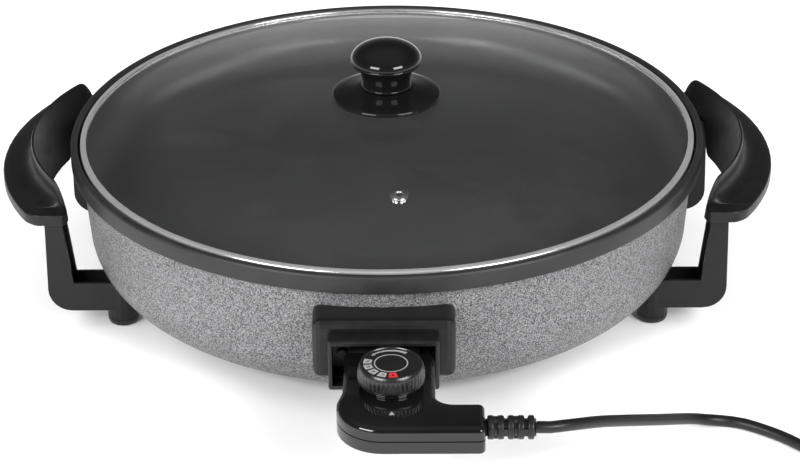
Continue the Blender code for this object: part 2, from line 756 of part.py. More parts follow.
def foot(name, sx, sy):
    stem_top = FOOT_HEIGHT + FOOT_STEM_HEIGHT
    profile = [(0, stem_top), (FOOT_STEM_RADIUS, stem_top), (FOOT_STEM_RADIUS, FOOT_HEIGHT),
               (FOOT_RADIUS, FOOT_HEIGHT)]
    profile += arc(FOOT_RADIUS - FOOT_EDGE, FOOT_EDGE, FOOT_EDGE, 0, -90, 2)
    profile += [(0, 0)]
    obj = turned(name, profile, SMALL_STEPS)
    obj.data.transform(Matrix.Translation((FOOT_REACH, 0, 0)))
    return place_at_corner(obj, sx, sy)


def headed_screw(name, radius, head_radius, head_height, length, steps=SCREW_STEPS):
    # The head's outer face is at z = 0 and the shank points up
    profile = [(0, length), (radius, length), (radius, head_height), (head_radius, head_height),
               (head_radius, 0), (0, 0)]
    return turned(name, profile, steps)


def arm_screw(name, sx, sy):
    seat = FOOT_HEIGHT + GAP * 2 + FOOT_STEM_HEIGHT
    obj = headed_screw(name, SCREW_RADIUS, SCREW_HEAD_RADIUS, SCREW_HEAD_HEIGHT, ARM_SCREW_LENGTH)
    obj.data.transform(Matrix.Translation((FOOT_REACH, 0, seat)))
    return place_at_corner(obj, sx, sy)


def arm_nut(name, sx, sy):
    # The nut's outer corner stands on the casing's inner curve, facets allowed for
    reach = (math.hypot(FOOT_REACH, ARM_SPREAD) + ARM_NUT_RADIUS) / math.cos(math.pi / WIDE_STEPS)
    inner = (CASING_CORNER - CASING_WALL) * math.cos(math.pi / ARC_STEPS / 4)
    slope = reach - CASING_LOW_RADIUS + CASING_CORNER
    low = CASING_BASE + CASING_CORNER - math.sqrt(inner ** 2 - slope ** 2) + GAP
    obj = hexagon(name, ARM_NUT_RADIUS, low, low + ARM_NUT_HEIGHT, SCREW_RADIUS + GAP, (FOOT_REACH, 0))
    return place_at_corner(obj, sx, sy)


def grip_screw(name, sx, sy):
    obj = headed_screw(name, SCREW_RADIUS, SCREW_HEAD_RADIUS, SCREW_HEAD_HEIGHT, GRIP_SCREW_LENGTH)
    low = ARM_TOP - ARM_CAP - GAP - SCREW_HEAD_HEIGHT
    obj.data.transform(Matrix.Translation((grip_screw_x(), 0, low)))
    return place_at_corner(obj, sx, sy)


def ease(value, start, end):
    share = min(max((value - start) / (end - start), 0.0), 1.0)
    return share * share * (3 - 2 * share)


def arc_reach(reach, radius, y):
    return reach - radius + math.sqrt(radius ** 2 - y ** 2)


def guard_height_share(y):
    # 1 along the guard, falling round its end corner to 0
    past = (y - (GUARD_HALF_LENGTH - GUARD_END)) / GUARD_END
    if past <= 0:
        return 1.0
    if past >= 1:
        return 0.0
    return math.sqrt(1 - past ** 2)


def end_inset(y):
    # Rounds the plate's end in plan
    past = (y - (GRIP_HALF_LENGTH - GUARD_END)) / GUARD_END
    if past <= 0:
        return 0.0
    return GUARD_END * (1 - math.sqrt(max(1 - past ** 2, 0.0)))


def grip_section(y):
    side = abs(y)
    inset = end_inset(side)
    out = arc_reach(GRIP_OUTER_REACH, GRIP_OUTER_RADIUS, side) - inset
    crest = max(arc_reach(GUARD_REACH, GUARD_RADIUS, side), GRIP_INNER_END + GUARD_WALL) + inset / 2
    share = guard_height_share(side)
    low_share = 1 - ease(side, GUARD_DEEP_HALF, GUARD_LOW_HALF)
    top = GRIP_TOP + (GUARD_TOP - GRIP_TOP) * share
    bottom = GRIP_UNDERSIDE + (GUARD_BOTTOM - GRIP_UNDERSIDE) * low_share
    lean = GUARD_LEAN / (GUARD_TOP - GUARD_BOTTOM)
    wall = GUARD_WALL
    half = wall / 2
    mid_z = (GRIP_UNDERSIDE + GRIP_TOP) / 2
    crown = GRIP_TOP + GRIP_CROWN * share
    rise = top - crown
    root = crest + half - lean * (GUARD_TOP - GRIP_TOP)
    fillet = min(GRIP_FILLET, out - GRIP_EDGE - root - GRIP_EDGE / 2)
    camber = GRIP_CAMBER
    return [
        (out - GRIP_EDGE / 4, GRIP_UNDERSIDE),
        (out, mid_z),
        (out - GRIP_EDGE / 3, GRIP_TOP - GRIP_EDGE / 3),
        (out - GRIP_EDGE, GRIP_TOP),
        (root + fillet, crown + camber / 2),
        (root + fillet / 4, crown + rise * share / 4 + camber),
        (crest + half - lean * rise / 2, crown + rise * GUARD_FLANK_SHARE + camber),
        (crest + half, top - half * share / 2 + camber / 2),
        (crest, top),
        (crest - half, top - half / 2),
        (crest - half - lean * (GUARD_TOP - mid_z), mid_z),
        (crest - half - lean * (GUARD_TOP - bottom), bottom),
        (crest + half - lean * (GUARD_TOP - bottom), bottom),
        (crest + half - lean * (GUARD_TOP - GRIP_UNDERSIDE), GRIP_UNDERSIDE),
    ]


def grip_stations():
    guard_start = GUARD_HALF_LENGTH - GUARD_END
    end_start = GRIP_HALF_LENGTH - GUARD_END
    half = [0.0, GUARD_DEEP_HALF / 2, GUARD_DEEP_HALF]
    half += [(GUARD_DEEP_HALF + GUARD_LOW_HALF) / 2, GUARD_LOW_HALF]
    half += [guard_start + GUARD_END * math.sin(math.pi / 2 * k / 3) for k in range(4)]
    half += [end_start + GUARD_END * math.sin(math.pi / 2 * k / 3) for k in range(4)]
    half = sorted(set(half))
    return [-y for y in reversed(half[1:])] + half


def grip(name, sx):
    bm = bmesh.new()
    rings = []
    for y in grip_stations():
        rings.append([bm.verts.new((x, y, z)) for x, z in grip_section(y)])
    count = len(rings[0])
    for near, far in zip(rings[:-1], rings[1:]):
        for i in range(count):
            j = (i + 1) % count
            bm.faces.new((near[i], near[j], far[j], far[i]))
    bm.faces.new(rings[0])
    bm.faces.new(reversed(rings[-1]))
    obj = mesh_object(name, bm)
    boolean(obj, grip_pocket())
    low = GRIP_UNDERSIDE - CUT_OVERRUN
    high = GRIP_UNDERSIDE + GRIP_POCKET_DEPTH + GAP * 3
    for y in (-ARM_SPREAD, ARM_SPREAD):
        boolean(obj, rod("grip_screw_hole", SCREW_RADIUS + GAP, (grip_screw_x(), y, low),
                         (grip_screw_x(), y, high), SCREW_STEPS))
    if sx < 0:
        obj.data.transform(Matrix.Rotation(math.pi, 4, "Z"))
    return smooth(obj, 40.0)


def grip_pocket():
    # A crescent hollow in the plate's underside, between the two arms
    steps = ARC_STEPS
    lean = GUARD_LEAN / (GUARD_TOP - GUARD_BOTTOM)
    inner = GUARD_WALL / 2 - lean * (GUARD_TOP - GRIP_TOP) + GRIP_EDGE
    ys = [GRIP_POCKET_HALF * (2 * k / steps - 1) for k in range(steps + 1)]
    outer_side = [(arc_reach(GRIP_OUTER_REACH, GRIP_OUTER_RADIUS, y) - GRIP_EDGE, y) for y in ys]
    inner_side = [(arc_reach(GUARD_REACH, GUARD_RADIUS, y) + inner, y) for y in reversed(ys)]
    return plate("grip_pocket", outer_side + inner_side, GRIP_UNDERSIDE - CUT_OVERRUN,
                 GRIP_UNDERSIDE + GRIP_POCKET_DEPTH)


def terminal_box():
    half = BOX_WIDTH / 2
    top = BOX_BOTTOM + BOX_HEIGHT
    obj = box("terminal_box", (-half, -BOX_FRONT, BOX_BOTTOM), (half, -BOX_REAR, top), BOX_EDGE, 3)
    wall = BOX_WALL
    inside = box("box_inside", (-half + wall, -BOX_FRONT + wall, BOX_BOTTOM + wall),
                 (half - wall, -BOX_REAR + CUT_OVERRUN, top - wall))
    boolean(obj, inside)
    mouth = SPIGOT_INSET - GAP
    cup_half = CUP_WIDTH / 2 - mouth
    hole = box("box_mouth", (-cup_half, -BOX_FRONT - CUT_OVERRUN, BOX_BOTTOM + wall),
               (cup_half, -BOX_FRONT + wall + CUT_OVERRUN, CUP_BOTTOM + CUP_HEIGHT - mouth))
    boolean(obj, hole)
    return smooth(boolean(obj, casing_space("box_casing_space")))


def socket_cup():
    half = CUP_WIDTH / 2
    top = CUP_BOTTOM + CUP_HEIGHT
    obj = box("socket_cup", (-half, -CUP_FRONT, CUP_BOTTOM), (half, -BOX_FRONT - GAP, top), CUP_EDGE, 2)
    inset = SPIGOT_INSET
    spigot_low = BOX_BOTTOM + BOX_WALL + GAP
    spigot = box("cup_spigot", (-half + inset, -CUP_FRONT + CUP_WALL, spigot_low),
                 (half - inset, -CUP_BACK, top - inset))
    boolean(obj, spigot, "UNION")
    wall = CUP_WALL
    front_cut = box("cup_front_recess", (-half + wall, -CUP_FRONT - CUT_OVERRUN, CUP_BOTTOM + wall + inset),
                    (half - wall, -BOX_FRONT - GAP - wall, top - wall - inset))
    boolean(obj, front_cut)
    deep_cut = box("cup_deep_recess", (-half + wall, -CUP_FRONT, spigot_low + SPIGOT_FLOOR),
                   (half - wall, -CUP_BACK - CUP_BACK_WALL, top - wall - inset))
    boolean(obj, deep_cut)
    for side in (-1, 1):
        hole = rod("cup_pin_hole", PIN_RADIUS + GAP, (side * PIN_SPACING / 2, -CUP_FRONT, PIN_HEIGHT),
                   (side * PIN_SPACING / 2, -BOX_REAR, PIN_HEIGHT), SCREW_STEPS)
        boolean(obj, hole)
        x = side * SOCKET_SCREW_SPACING / 2
        hole = rod("cup_screw_hole", SOCKET_SCREW_RADIUS + GAP, (x, -CUP_FRONT, PIN_HEIGHT),
                   (x, -BOX_REAR, PIN_HEIGHT), SCREW_STEPS)
        boolean(obj, hole)
    hole = rod("cup_guide_hole", GUIDE_RADIUS + GAP, (0, -CUP_FRONT, PIN_HEIGHT), (0, -BOX_REAR, PIN_HEIGHT),
               SMALL_STEPS)
    return smooth(boolean(obj, hole))


def mounting_block():
    half = BLOCK_WIDTH / 2
    obj = box("mounting_block", (-half, -CUP_BACK + GAP, PIN_HEIGHT - BLOCK_HEIGHT / 2),
              (half, -BOX_REAR, PIN_HEIGHT + BLOCK_HEIGHT / 2))
    boolean(obj, casing_space("block_casing_space"))
    for side in (-1, 1):
        hole = rod("block_pin_hole", PIN_RADIUS + GAP, (side * PIN_SPACING / 2, -CUP_FRONT, PIN_HEIGHT),
                   (side * PIN_SPACING / 2, -BOX_REAR, PIN_HEIGHT), SCREW_STEPS)
        boolean(obj, hole)
        x = side * SOCKET_SCREW_SPACING / 2
        hole = rod("block_screw_hole", SOCKET_SCREW_RADIUS + GAP, (x, -CUP_FRONT, PIN_HEIGHT),
                   (x, -BOX_REAR, PIN_HEIGHT), SCREW_STEPS)
        boolean(obj, hole)
    hole = rod("block_guide_hole", GUIDE_RADIUS + GAP, (0, -CUP_FRONT, PIN_HEIGHT),
               (0, -BOX_REAR, PIN_HEIGHT), SMALL_STEPS)
    return smooth(boolean(obj, hole))


def lay_forward(obj, x, y, z):
    # A piece turned about z is laid along -y, its z = 0 end at the given place
    obj.data.transform(Matrix.Translation((x, y, z)) @ Matrix.Rotation(math.pi / 2, 4, "X"))
    obj.data.update()
    return obj


def sensor_guide():
    inner = ROD_RADIUS + GAP
    rear = casing_radius_at(PIN_HEIGHT) + CASING_WALL
    length = CUP_BACK + CUP_BACK_WALL - rear + CASING_WALL
    profile = [(GUIDE_RADIUS, length), (GUIDE_RADIUS, 0), (inner, 0), (inner, length)]
    return lay_forward(turned("sensor_guide", profile, SMALL_STEPS, closed=True), 0, -rear, PIN_HEIGHT)


def terminal_pin(name, side):
    x = side * PIN_SPACING / 2
    rear = PIN_FRONT - PIN_LENGTH
    tip = PIN_RADIUS / 2
    profile = [(0, PIN_LENGTH), (PIN_RADIUS - tip / 2, PIN_LENGTH), (PIN_RADIUS, PIN_LENGTH - tip),
               (PIN_RADIUS, 0), (0, 0)]
    return lay_forward(turned(name, profile, SCREW_STEPS), x, -rear, PIN_HEIGHT)


def socket_screw(name, side):
    x = side * SOCKET_SCREW_SPACING / 2
    head = CUP_BACK + CUP_BACK_WALL + GAP + SCREW_HEAD_HEIGHT
    obj = headed_screw(name, SOCKET_SCREW_RADIUS, SOCKET_SCREW_RADIUS * 2, SCREW_HEAD_HEIGHT,
                       SOCKET_SCREW_LENGTH)
    turn = Matrix.Rotation(-math.pi / 2, 4, "X")
    obj.data.transform(Matrix.Translation((x, -head, PIN_HEIGHT)) @ turn)
    return obj


def probe_corners():
    return [
        (PROBE_NECK_LEFT, -PROBE_NECK_REAR, PROBE_NECK_CORNER),
        (PROBE_NECK_LEFT, -PROBE_WAIST, PROBE_WAIST_CORNER),
        (PROBE_BULGE, -PROBE_BULGE_START, PROBE_WAIST_CORNER / 2),
        (PROBE_BULGE, -PROBE_FRONT, PROBE_FRONT_CORNER),
        (PROBE_ARM_END, -PROBE_FRONT, PROBE_END_CORNER),
        (PROBE_ARM_END, -PROBE_ARM_REAR, PROBE_END_CORNER),
        (PROBE_NECK_RIGHT, -PROBE_ARM_REAR, PROBE_FILLET),
        (PROBE_NECK_RIGHT, -PROBE_NECK_REAR, PROBE_NECK_CORNER),
    ]


def probe_cuts(obj):
    # The nose window, the strain relief's hole and, in the upper shell, the shaft's hole
    nose = box("nose_window", (-NOSE_WIDTH / 2 - GAP, -NOSE_TAIL, PIN_HEIGHT - NOSE_HEIGHT / 2 - GAP),
               (NOSE_WIDTH / 2 + GAP, -NOSE_TIP, PIN_HEIGHT + NOSE_HEIGHT / 2 + GAP))
    boolean(obj, nose)
    relief = rod("relief_hole", RELIEF_NECK_RADIUS + GAP,
                 (PROBE_ARM_END - PROBE_WALL * 2, RELIEF_Y, RELIEF_HEIGHT),
                 (PROBE_ARM_END + PROBE_WALL, RELIEF_Y, RELIEF_HEIGHT))
    return boolean(obj, relief)


def probe_upper_shell():
    parting = PROBE_PARTING + GAP / 2
    obj = plate("probe_upper_shell", rounded_outline(probe_corners()), parting, PROBE_TOP,
                PROBE_TOP_EDGE, 2)
    hollow = plate("upper_hollow", rounded_outline(probe_corners(), PROBE_WALL, 1), parting - CUT_OVERRUN,
                   PROBE_TOP - PROBE_WALL)
    boolean(obj, hollow)
    post_low = parting
    for x, y in zip(PROBE_POST_PLACES_X, PROBE_POST_PLACES_Y):
        post = rod("screw_post", PROBE_POST_RADIUS, (x, y, post_low), (x, y, PROBE_TOP - PROBE_WALL / 2),
                   SCREW_STEPS)
        boolean(obj, post, "UNION")
        hole = rod("post_hole", PROBE_SCREW_RADIUS + GAP, (x, y, post_low - CUT_OVERRUN),
                   (x, y, PROBE_BOTTOM + PROBE_SCREW_LENGTH + PROBE_WALL * 2), SCREW_STEPS)
        boolean(obj, hole)
    probe_cuts(obj)
    shaft = rod("shaft_hole", SHAFT_RADIUS + GAP, (DIAL_X, DIAL_Y, parting), (DIAL_X, DIAL_Y, DIAL_TOP))
    return smooth(boolean(obj, shaft))


def probe_lower_shell():
    parting = PROBE_PARTING - GAP / 2
    obj = plate("probe_lower_shell", rounded_outline(probe_corners()), -parting, -PROBE_BOTTOM,
                PROBE_BOTTOM_EDGE, 1)
    flip = Matrix.Rotation(math.pi, 4, "Y")
    mirror = Matrix.Scale(-1, 4, (1, 0, 0))
    obj.data.transform(mirror @ flip)
    obj.data.flip_normals()
    hollow = plate("lower_hollow", rounded_outline(probe_corners(), PROBE_WALL, 1),
                   PROBE_BOTTOM + PROBE_WALL, parting + CUT_OVERRUN)
    boolean(obj, hollow)
    for x, y in zip(PROBE_POST_PLACES_X, PROBE_POST_PLACES_Y):
        post = rod("screw_seat", PROBE_POST_RADIUS, (x, y, PROBE_BOTTOM + PROBE_WALL / 2),
                   (x, y, parting), SCREW_STEPS)
        boolean(obj, post, "UNION")
        seat = rod("screw_recess", PROBE_SCREW_HEAD + GAP, (x, y, PROBE_BOTTOM - CUT_OVERRUN),
                   (x, y, PROBE_BOTTOM + PROBE_WALL + PROBE_SCREW_HEAD_HEIGHT), SCREW_STEPS)
        boolean(obj, seat)
        hole = rod("screw_hole", PROBE_SCREW_RADIUS + GAP, (x, y, PROBE_BOTTOM),
                   (x, y, parting + CUT_OVERRUN), SCREW_STEPS)
        boolean(obj, hole)
    return smooth(probe_cuts(obj))


def probe_screw(name, x, y):
    obj = headed_screw(name, PROBE_SCREW_RADIUS, PROBE_SCREW_HEAD, PROBE_SCREW_HEAD_HEIGHT,
                       PROBE_SCREW_LENGTH)
    obj.data.transform(Matrix.Translation((x, y, PROBE_BOTTOM + PROBE_WALL - GAP)))
    return obj


def contact_block():
    half = NOSE_WIDTH / 2
    low = PIN_HEIGHT - NOSE_HEIGHT / 2
    obj = box("contact_block", (-half, -NOSE_TAIL + GAP, low), (half, -NOSE_TIP, low + NOSE_HEIGHT),
              NOSE_EDGE, 1)
    for side in (-1, 1):
        x = side * PIN_SPACING / 2
        sleeve = rod("sleeve_seat", SLEEVE_RADIUS + GAP, (x, -NOSE_TIP - SLEEVE_INSET, PIN_HEIGHT),
                     (x, -NOSE_TIP - SLEEVE_INSET - SLEEVE_LENGTH - GAP * 2, PIN_HEIGHT), SCREW_STEPS)
        boolean(obj, sleeve)
        mouth = rod("pin_mouth", PIN_RADIUS + SCREW_CLEARANCE, (x, -NOSE_TIP + CUT_OVERRUN, PIN_HEIGHT),
                    (x, -NOSE_TIP - SLEEVE_INSET - CUT_OVERRUN, PIN_HEIGHT), SCREW_STEPS)
        boolean(obj, mouth)
    bore = rod("rod_bore", ROD_RADIUS + GAP, (0, -BOX_REAR, PIN_HEIGHT), (0, -ROD_TAIL, PIN_HEIGHT))
    return smooth(boolean(obj, bore))


def contact_sleeve(name, side):
    x = side * PIN_SPACING / 2
    inner = PIN_RADIUS + GAP
    start = NOSE_TIP + SLEEVE_INSET + GAP
    profile = [(SLEEVE_RADIUS, SLEEVE_LENGTH), (SLEEVE_RADIUS, 0), (inner, 0), (inner, SLEEVE_LENGTH)]
    return lay_forward(turned(name, profile, SCREW_STEPS, closed=True), x, -start, PIN_HEIGHT)


def sensor_rod():
    length = ROD_TAIL - ROD_TIP
    shoulder = ROD_RADIUS * ROD_DOME_SHARE
    profile = [(0, length), (ROD_RADIUS, length), (ROD_RADIUS, ROD_RADIUS), (shoulder, ROD_RADIUS / 4),
               (0, 0)]
    return lay_forward(turned("sensor_rod", profile, SMALL_STEPS), 0, -ROD_TIP, PIN_HEIGHT)


def thermostat_unit():
    low = PROBE_BOTTOM + PROBE_WALL + GAP
    rear = -ROD_TAIL - GAP
    half = SWITCH_WIDTH / 2
    obj = box("thermostat_unit", (DIAL_X - half, rear - SWITCH_LENGTH, low),
              (DIAL_X + half, rear, PROBE_TOP - PROBE_WALL * 2), SWITCH_EDGE, 1)
    return smooth(obj)


def dial():
    # Smooth foot, toothed band and chamfered top, lofted through rings of unlike outline
    low = DIAL_TOP - DIAL_HEIGHT
    bm = bmesh.new()
    face_low = DIAL_TOP - DIAL_DISH
    levels = [(low, 0.0, DIAL_RADIUS - DIAL_TOOTH), (low + DIAL_SKIRT, 1.0, DIAL_RADIUS),
              (DIAL_TOP - DIAL_CHAMFER, 1.0, DIAL_RADIUS - DIAL_TOOTH / 2),
              (DIAL_TOP, 0.0, DIAL_RADIUS - DIAL_TOOTH - DIAL_CHAMFER),
              (face_low, 0.0, DIAL_FACE_RADIUS)]
    rings = []
    for z, toothed, radius in levels:
        ring = []
        for k in range(DIAL_TEETH * 2):
            angle = math.pi * k / DIAL_TEETH
            r = radius - DIAL_TOOTH * toothed * (k % 2)
            ring.append(bm.verts.new((DIAL_X + r * math.cos(angle), DIAL_Y + r * math.sin(angle), z)))
        rings.append(ring)
    for near, far in zip(rings[:-1], rings[1:]):
        for i in range(len(near)):
            j = (i + 1) % len(near)
            bm.faces.new((near[i], near[j], far[j], far[i]))
    bm.faces.new(reversed(rings[0]))
    bm.faces.new(rings[-1])
    obj = mesh_object("dial", bm)
    bore = rod("dial_bore", SHAFT_RADIUS + GAP, (DIAL_X, DIAL_Y, low - CUT_OVERRUN),
               (DIAL_X, DIAL_Y, low + DIAL_BORE_DEPTH))
    return smooth(boolean(obj, bore))


def dial_collar():
    low = PROBE_TOP + GAP
    high = DIAL_TOP - DIAL_HEIGHT - GAP
    step = COLLAR_STEP
    inner = SHAFT_RADIUS + GAP
    middle = (low + high) / 2
    profile = [(COLLAR_RADIUS - step, high), (COLLAR_RADIUS - step, middle), (COLLAR_RADIUS, middle),
               (COLLAR_RADIUS, low), (inner, low), (inner, high)]
    obj = turned("dial_collar", profile, MIDDLE_STEPS, closed=True)
    obj.data.transform(Matrix.Translation((DIAL_X, DIAL_Y, 0)))
    return obj


def dial_shaft():
    low = PROBE_TOP - PROBE_WALL * 2 + GAP
    high = DIAL_TOP - DIAL_HEIGHT + DIAL_BORE_DEPTH - GAP
    return rod("dial_shaft", SHAFT_RADIUS, (DIAL_X, DIAL_Y, low), (DIAL_X, DIAL_Y, high), SCREW_STEPS)


def strain_relief():
    # Turned about its own axis: a flange behind the housing wall, then evenly spaced ribs
    wall_in = PROBE_ARM_END - PROBE_WALL - GAP
    tail = wall_in - RELIEF_FLANGE
    start = PROBE_ARM_END + GAP
    pitch = (RELIEF_TIP - start) / RELIEF_RIBS
    rib = pitch * RELIEF_RIB_SHARE
    profile = [(0, tail), (RELIEF_FLANGE_RADIUS, tail), (RELIEF_FLANGE_RADIUS, wall_in),
               (RELIEF_NECK_RADIUS, wall_in), (RELIEF_NECK_RADIUS, start)]
    for k in range(RELIEF_RIBS):
        low = start + pitch * k + (pitch - rib) / 2
        profile += [(RELIEF_CORE_RADIUS, low), (RELIEF_RIB_RADIUS, low + rib / 4),
                    (RELIEF_RIB_RADIUS, low + rib * 3 / 4), (RELIEF_CORE_RADIUS, low + rib)]
    profile += [(RELIEF_CORE_RADIUS, RELIEF_TIP), (0, RELIEF_TIP)]
    obj = turned("strain_relief", list(reversed(profile)), RELIEF_STEPS)
    turn = Matrix.Rotation(math.pi / 2, 4, "Y")
    obj.data.transform(Matrix.Translation((0, RELIEF_Y, RELIEF_HEIGHT)) @ turn)
    return obj


def smooth_path(points, step):
    # Catmull-Rom curve through the points, read off at an even spacing
    pts = [Vector(p) for p in points]
    pts = [pts[0] * 2 - pts[1]] + pts + [pts[-1] * 2 - pts[-2]]
    fine = []
    for i in range(1, len(pts) - 2):
        a, b, c, d = pts[i - 1:i + 3]
        for k in range(20):
            t = k / 20
            fine.append(0.5 * (2 * b + (c - a) * t + (2 * a - 5 * b + 4 * c - d) * t * t
                               + (3 * b - a - 3 * c + d) * t ** 3))
    fine.append(pts[-2])
    lengths = [0.0]
    for near, far in zip(fine[:-1], fine[1:]):
        lengths.append(lengths[-1] + (far - near).length)
    count = max(round(lengths[-1] / step), 2)
    path = []
    index = 0
    for k in range(count + 1):
        target = lengths[-1] * k / count
        while index < len(lengths) - 2 and lengths[index + 1] < target:
            index += 1
        share = (target - lengths[index]) / (lengths[index + 1] - lengths[index])
        path.append(fine[index].lerp(fine[index + 1], share))
    return path


def path_length(points):
    return sum((Vector(b) - Vector(a)).length for a, b in zip(points[:-1], points[1:]))


def coil_points():
    # Two layers: the tube spirals in on the table, climbs as it turns back, and spirals out on top
    pitch = CORD_RADIUS * 2 + COIL_GAP
    whole = math.tau * COIL_LOOPS
    start = math.radians(COIL_START_DEGREES)
    count = round(COIL_LOOPS * COIL_LOOP_POINTS)
    points = []
    for k in range(count + 1):
        angle = whole * k / count
        inward = min(angle, whole - angle)
        radius = COIL_OUTER - pitch * inward / math.tau
        climb = min(max((angle - whole / 2) / math.pi + 0.5, 0.0), 1.0)
        points.append(Vector((COIL_CENTRE[0] + radius * math.cos(start + angle),
                              COIL_CENTRE[1] + radius * math.sin(start + angle),
                              CORD_Z + pitch * climb)))
    first = (points[0] - points[1]).normalized()
    last = (points[-1] - points[-2]).normalized()
    return [points[0] + first * COIL_LEAD] + points + [points[-1] + last * COIL_LEAD]


def least_gap(points):
    # Smallest clear distance between stretches of the tube that aren't neighbours along it
    least = math.inf
    apart = COIL_LOOP_POINTS // 2
    for i in range(len(points)):
        for j in range(i + apart, len(points)):
            least = min(least, (points[i] - points[j]).length)
    return least - CORD_RADIUS * 2


def cord_route():
    coil = coil_points()
    back = (coil[0] - coil[1]).normalized()
    entry = coil[0] + back * GAP
    before = entry + back * COIL_LEAD
    start = Vector(CORD_ROUTE[0])
    return [start] + smooth_path(list(CORD_ROUTE[1:]) + [before], CORD_STEP) + [entry]


def cord_coil():
    points = coil_points()
    print("coil: least gap of the tube to itself, mm:", round(least_gap(points) * 1000, 2))
    print("coil: length, m:", round(path_length(points), 3))
    return tube("cord_coil", points, CORD_RADIUS, 1)


def free_cord():
    points = cord_route()
    print("cord: length to the coil, m:", round(path_length(points), 3))
    return tube("cord", points, CORD_RADIUS, 2)


def plug():
    # Turned along its own axis from the cable end, flattened a little, with two pins joined to it
    coil = coil_points()
    along = (coil[-1] - coil[-2]).normalized()
    start = coil[-1] + along * GAP
    body = PLUG_NECK_LENGTH + PLUG_LENGTH
    low, high = PLUG_NECK_LENGTH, body
    profile = [(0, body), (PLUG_RADIUS - PLUG_NECK / 4, body), (PLUG_RADIUS, high - PLUG_NECK / 4),
               (PLUG_RADIUS, high - PLUG_NECK), (PLUG_WAIST, (low + high) / 2),
               (PLUG_NECK * 1.5, low), (PLUG_NECK, low - PLUG_NECK / 2), (PLUG_NECK, 0), (0, 0)]
    obj = turned("plug", profile, SMALL_STEPS)
    for side in (-1, 1):
        y = side * PLUG_PIN_SPACING / 2
        pin = rod("plug_pin", PLUG_PIN_RADIUS, (y, 0, body - CUT_OVERRUN),
                  (y, 0, body + PLUG_PIN_LENGTH), SCREW_STEPS)
        boolean(obj, pin, "UNION")
    obj.data.transform(Matrix.Scale(PLUG_FLAT_SHARE, 4, (0, 1, 0)))
    heading = math.atan2(along.y, along.x)
    height = PLUG_RADIUS * PLUG_FLAT_SHARE + CORD_LIFT
    tilt = math.atan2(height - start.z, body)
    turn = (Matrix.Rotation(heading, 4, "Z") @ Matrix.Rotation(math.pi / 2 - tilt, 4, "Y")
            @ Matrix.Rotation(math.pi / 2, 4, "Z"))
    obj.data.transform(Matrix.Translation(start) @ turn)
    return smooth(obj, 50.0)


def glass_height(r):
    # Height of the dome's upper face at distance r from the axis
    return GLASS_APEX - GLASS_SPHERE + math.sqrt(GLASS_SPHERE ** 2 - r ** 2)


def vent_place():
    angle = math.radians(VENT_ANGLE_DEGREES)
    x = VENT_RADIUS_ON_LID * math.cos(angle)
    y = VENT_RADIUS_ON_LID * math.sin(angle)
    middle = glass_height(VENT_RADIUS_ON_LID) - GLASS_WALL / 2
    tilt = math.asin(VENT_RADIUS_ON_LID / GLASS_SPHERE)
    turn = Matrix.Rotation(angle, 4, "Z") @ Matrix.Rotation(tilt, 4, "Y")
    return Matrix.Translation((x, y, middle)) @ turn


def lid_glass():
    radii = [KNOB_HOLE_RADIUS, VENT_RADIUS_ON_LID / 2, VENT_RADIUS_ON_LID, GLASS_RADIUS]
    profile = [(r, glass_height(r)) for r in radii]
    profile += [(r, glass_height(r) - GLASS_WALL) for r in reversed(radii)]
    obj = turned("lid_glass", profile, WIDE_STEPS, closed=True)
    hole = rod("vent_hole", VENT_SHANK + GAP, (0, 0, -GLASS_WALL * 2), (0, 0, GLASS_WALL * 2))
    hole.data.transform(vent_place())
    return smooth(boolean(obj, hole))


def lid_band():
    wall = BAND_WALL
    inner = GLASS_RADIUS + GAP
    lip = BAND_RADIUS - BAND_LIP
    rise = glass_height(lip) - glass_height(GLASS_RADIUS)
    low = BAND_BOTTOM
    edge = GLASS_EDGE_TOP + GAP * 2
    profile = [(lip, edge + rise + wall), (BAND_RADIUS - wall, edge + wall), (BAND_RADIUS, edge),
               (BAND_RADIUS, low), (lip, low), (lip, low + wall), (inner, low + wall), (inner, edge),
               (lip, edge + rise)]
    return turned("lid_band", profile, WIDE_STEPS, closed=True)


def knob_base():
    low = GLASS_APEX + GAP
    edge = low - KNOB_BASE_SAG
    side = KNOB_BASE_EDGE
    hole = KNOB_SCREW_RADIUS + GAP
    profile = [(KNOB_NECK_FOOT, edge + side + KNOB_BASE_RISE),
               (KNOB_BASE_RADIUS - side, edge + side * 1.2), (KNOB_BASE_RADIUS - side / 3, edge + side),
               (KNOB_BASE_RADIUS, edge + side / 2), (KNOB_BASE_RADIUS - side / 4, edge),
               (KNOB_BASE_RADIUS - side, edge), (hole, low), (hole, edge + side + KNOB_BASE_RISE)]
    return turned("knob_base", profile, MIDDLE_STEPS, closed=True)


def knob_foot():
    return GLASS_APEX + GAP * 2 - KNOB_BASE_SAG + KNOB_BASE_EDGE + KNOB_BASE_RISE


def knob():
    low = knob_foot()
    seam = low + KNOB_HEIGHT * KNOB_SEAM_SHARE
    dome = KNOB_HEIGHT - KNOB_HEIGHT * KNOB_SEAM_SHARE
    profile = [(0, low + KNOB_HEIGHT)]
    for k in range(1, 5):
        angle = math.pi / 2 * (1 - k / 5)
        profile.append((KNOB_RADIUS * math.cos(angle), seam + dome * math.sin(angle)))
    profile += [(KNOB_RADIUS, seam), (KNOB_RADIUS, seam - KNOB_BASE_EDGE / 4),
                (KNOB_FLARE_RADIUS, low + KNOB_HEIGHT * KNOB_FLARE_SHARE),
                (KNOB_NECK_MIDDLE, low + KNOB_HEIGHT * KNOB_MIDDLE_SHARE),
                (KNOB_NECK_FOOT, low + KNOB_BASE_EDGE / 2), (KNOB_NECK_FOOT, low), (0, low)]
    obj = turned("knob", profile, MIDDLE_STEPS)
    bore = rod("knob_bore", KNOB_SCREW_RADIUS + GAP, (0, 0, low - CUT_OVERRUN),
               (0, 0, low + KNOB_BORE_DEPTH), SCREW_STEPS)
    return smooth(boolean(obj, bore))


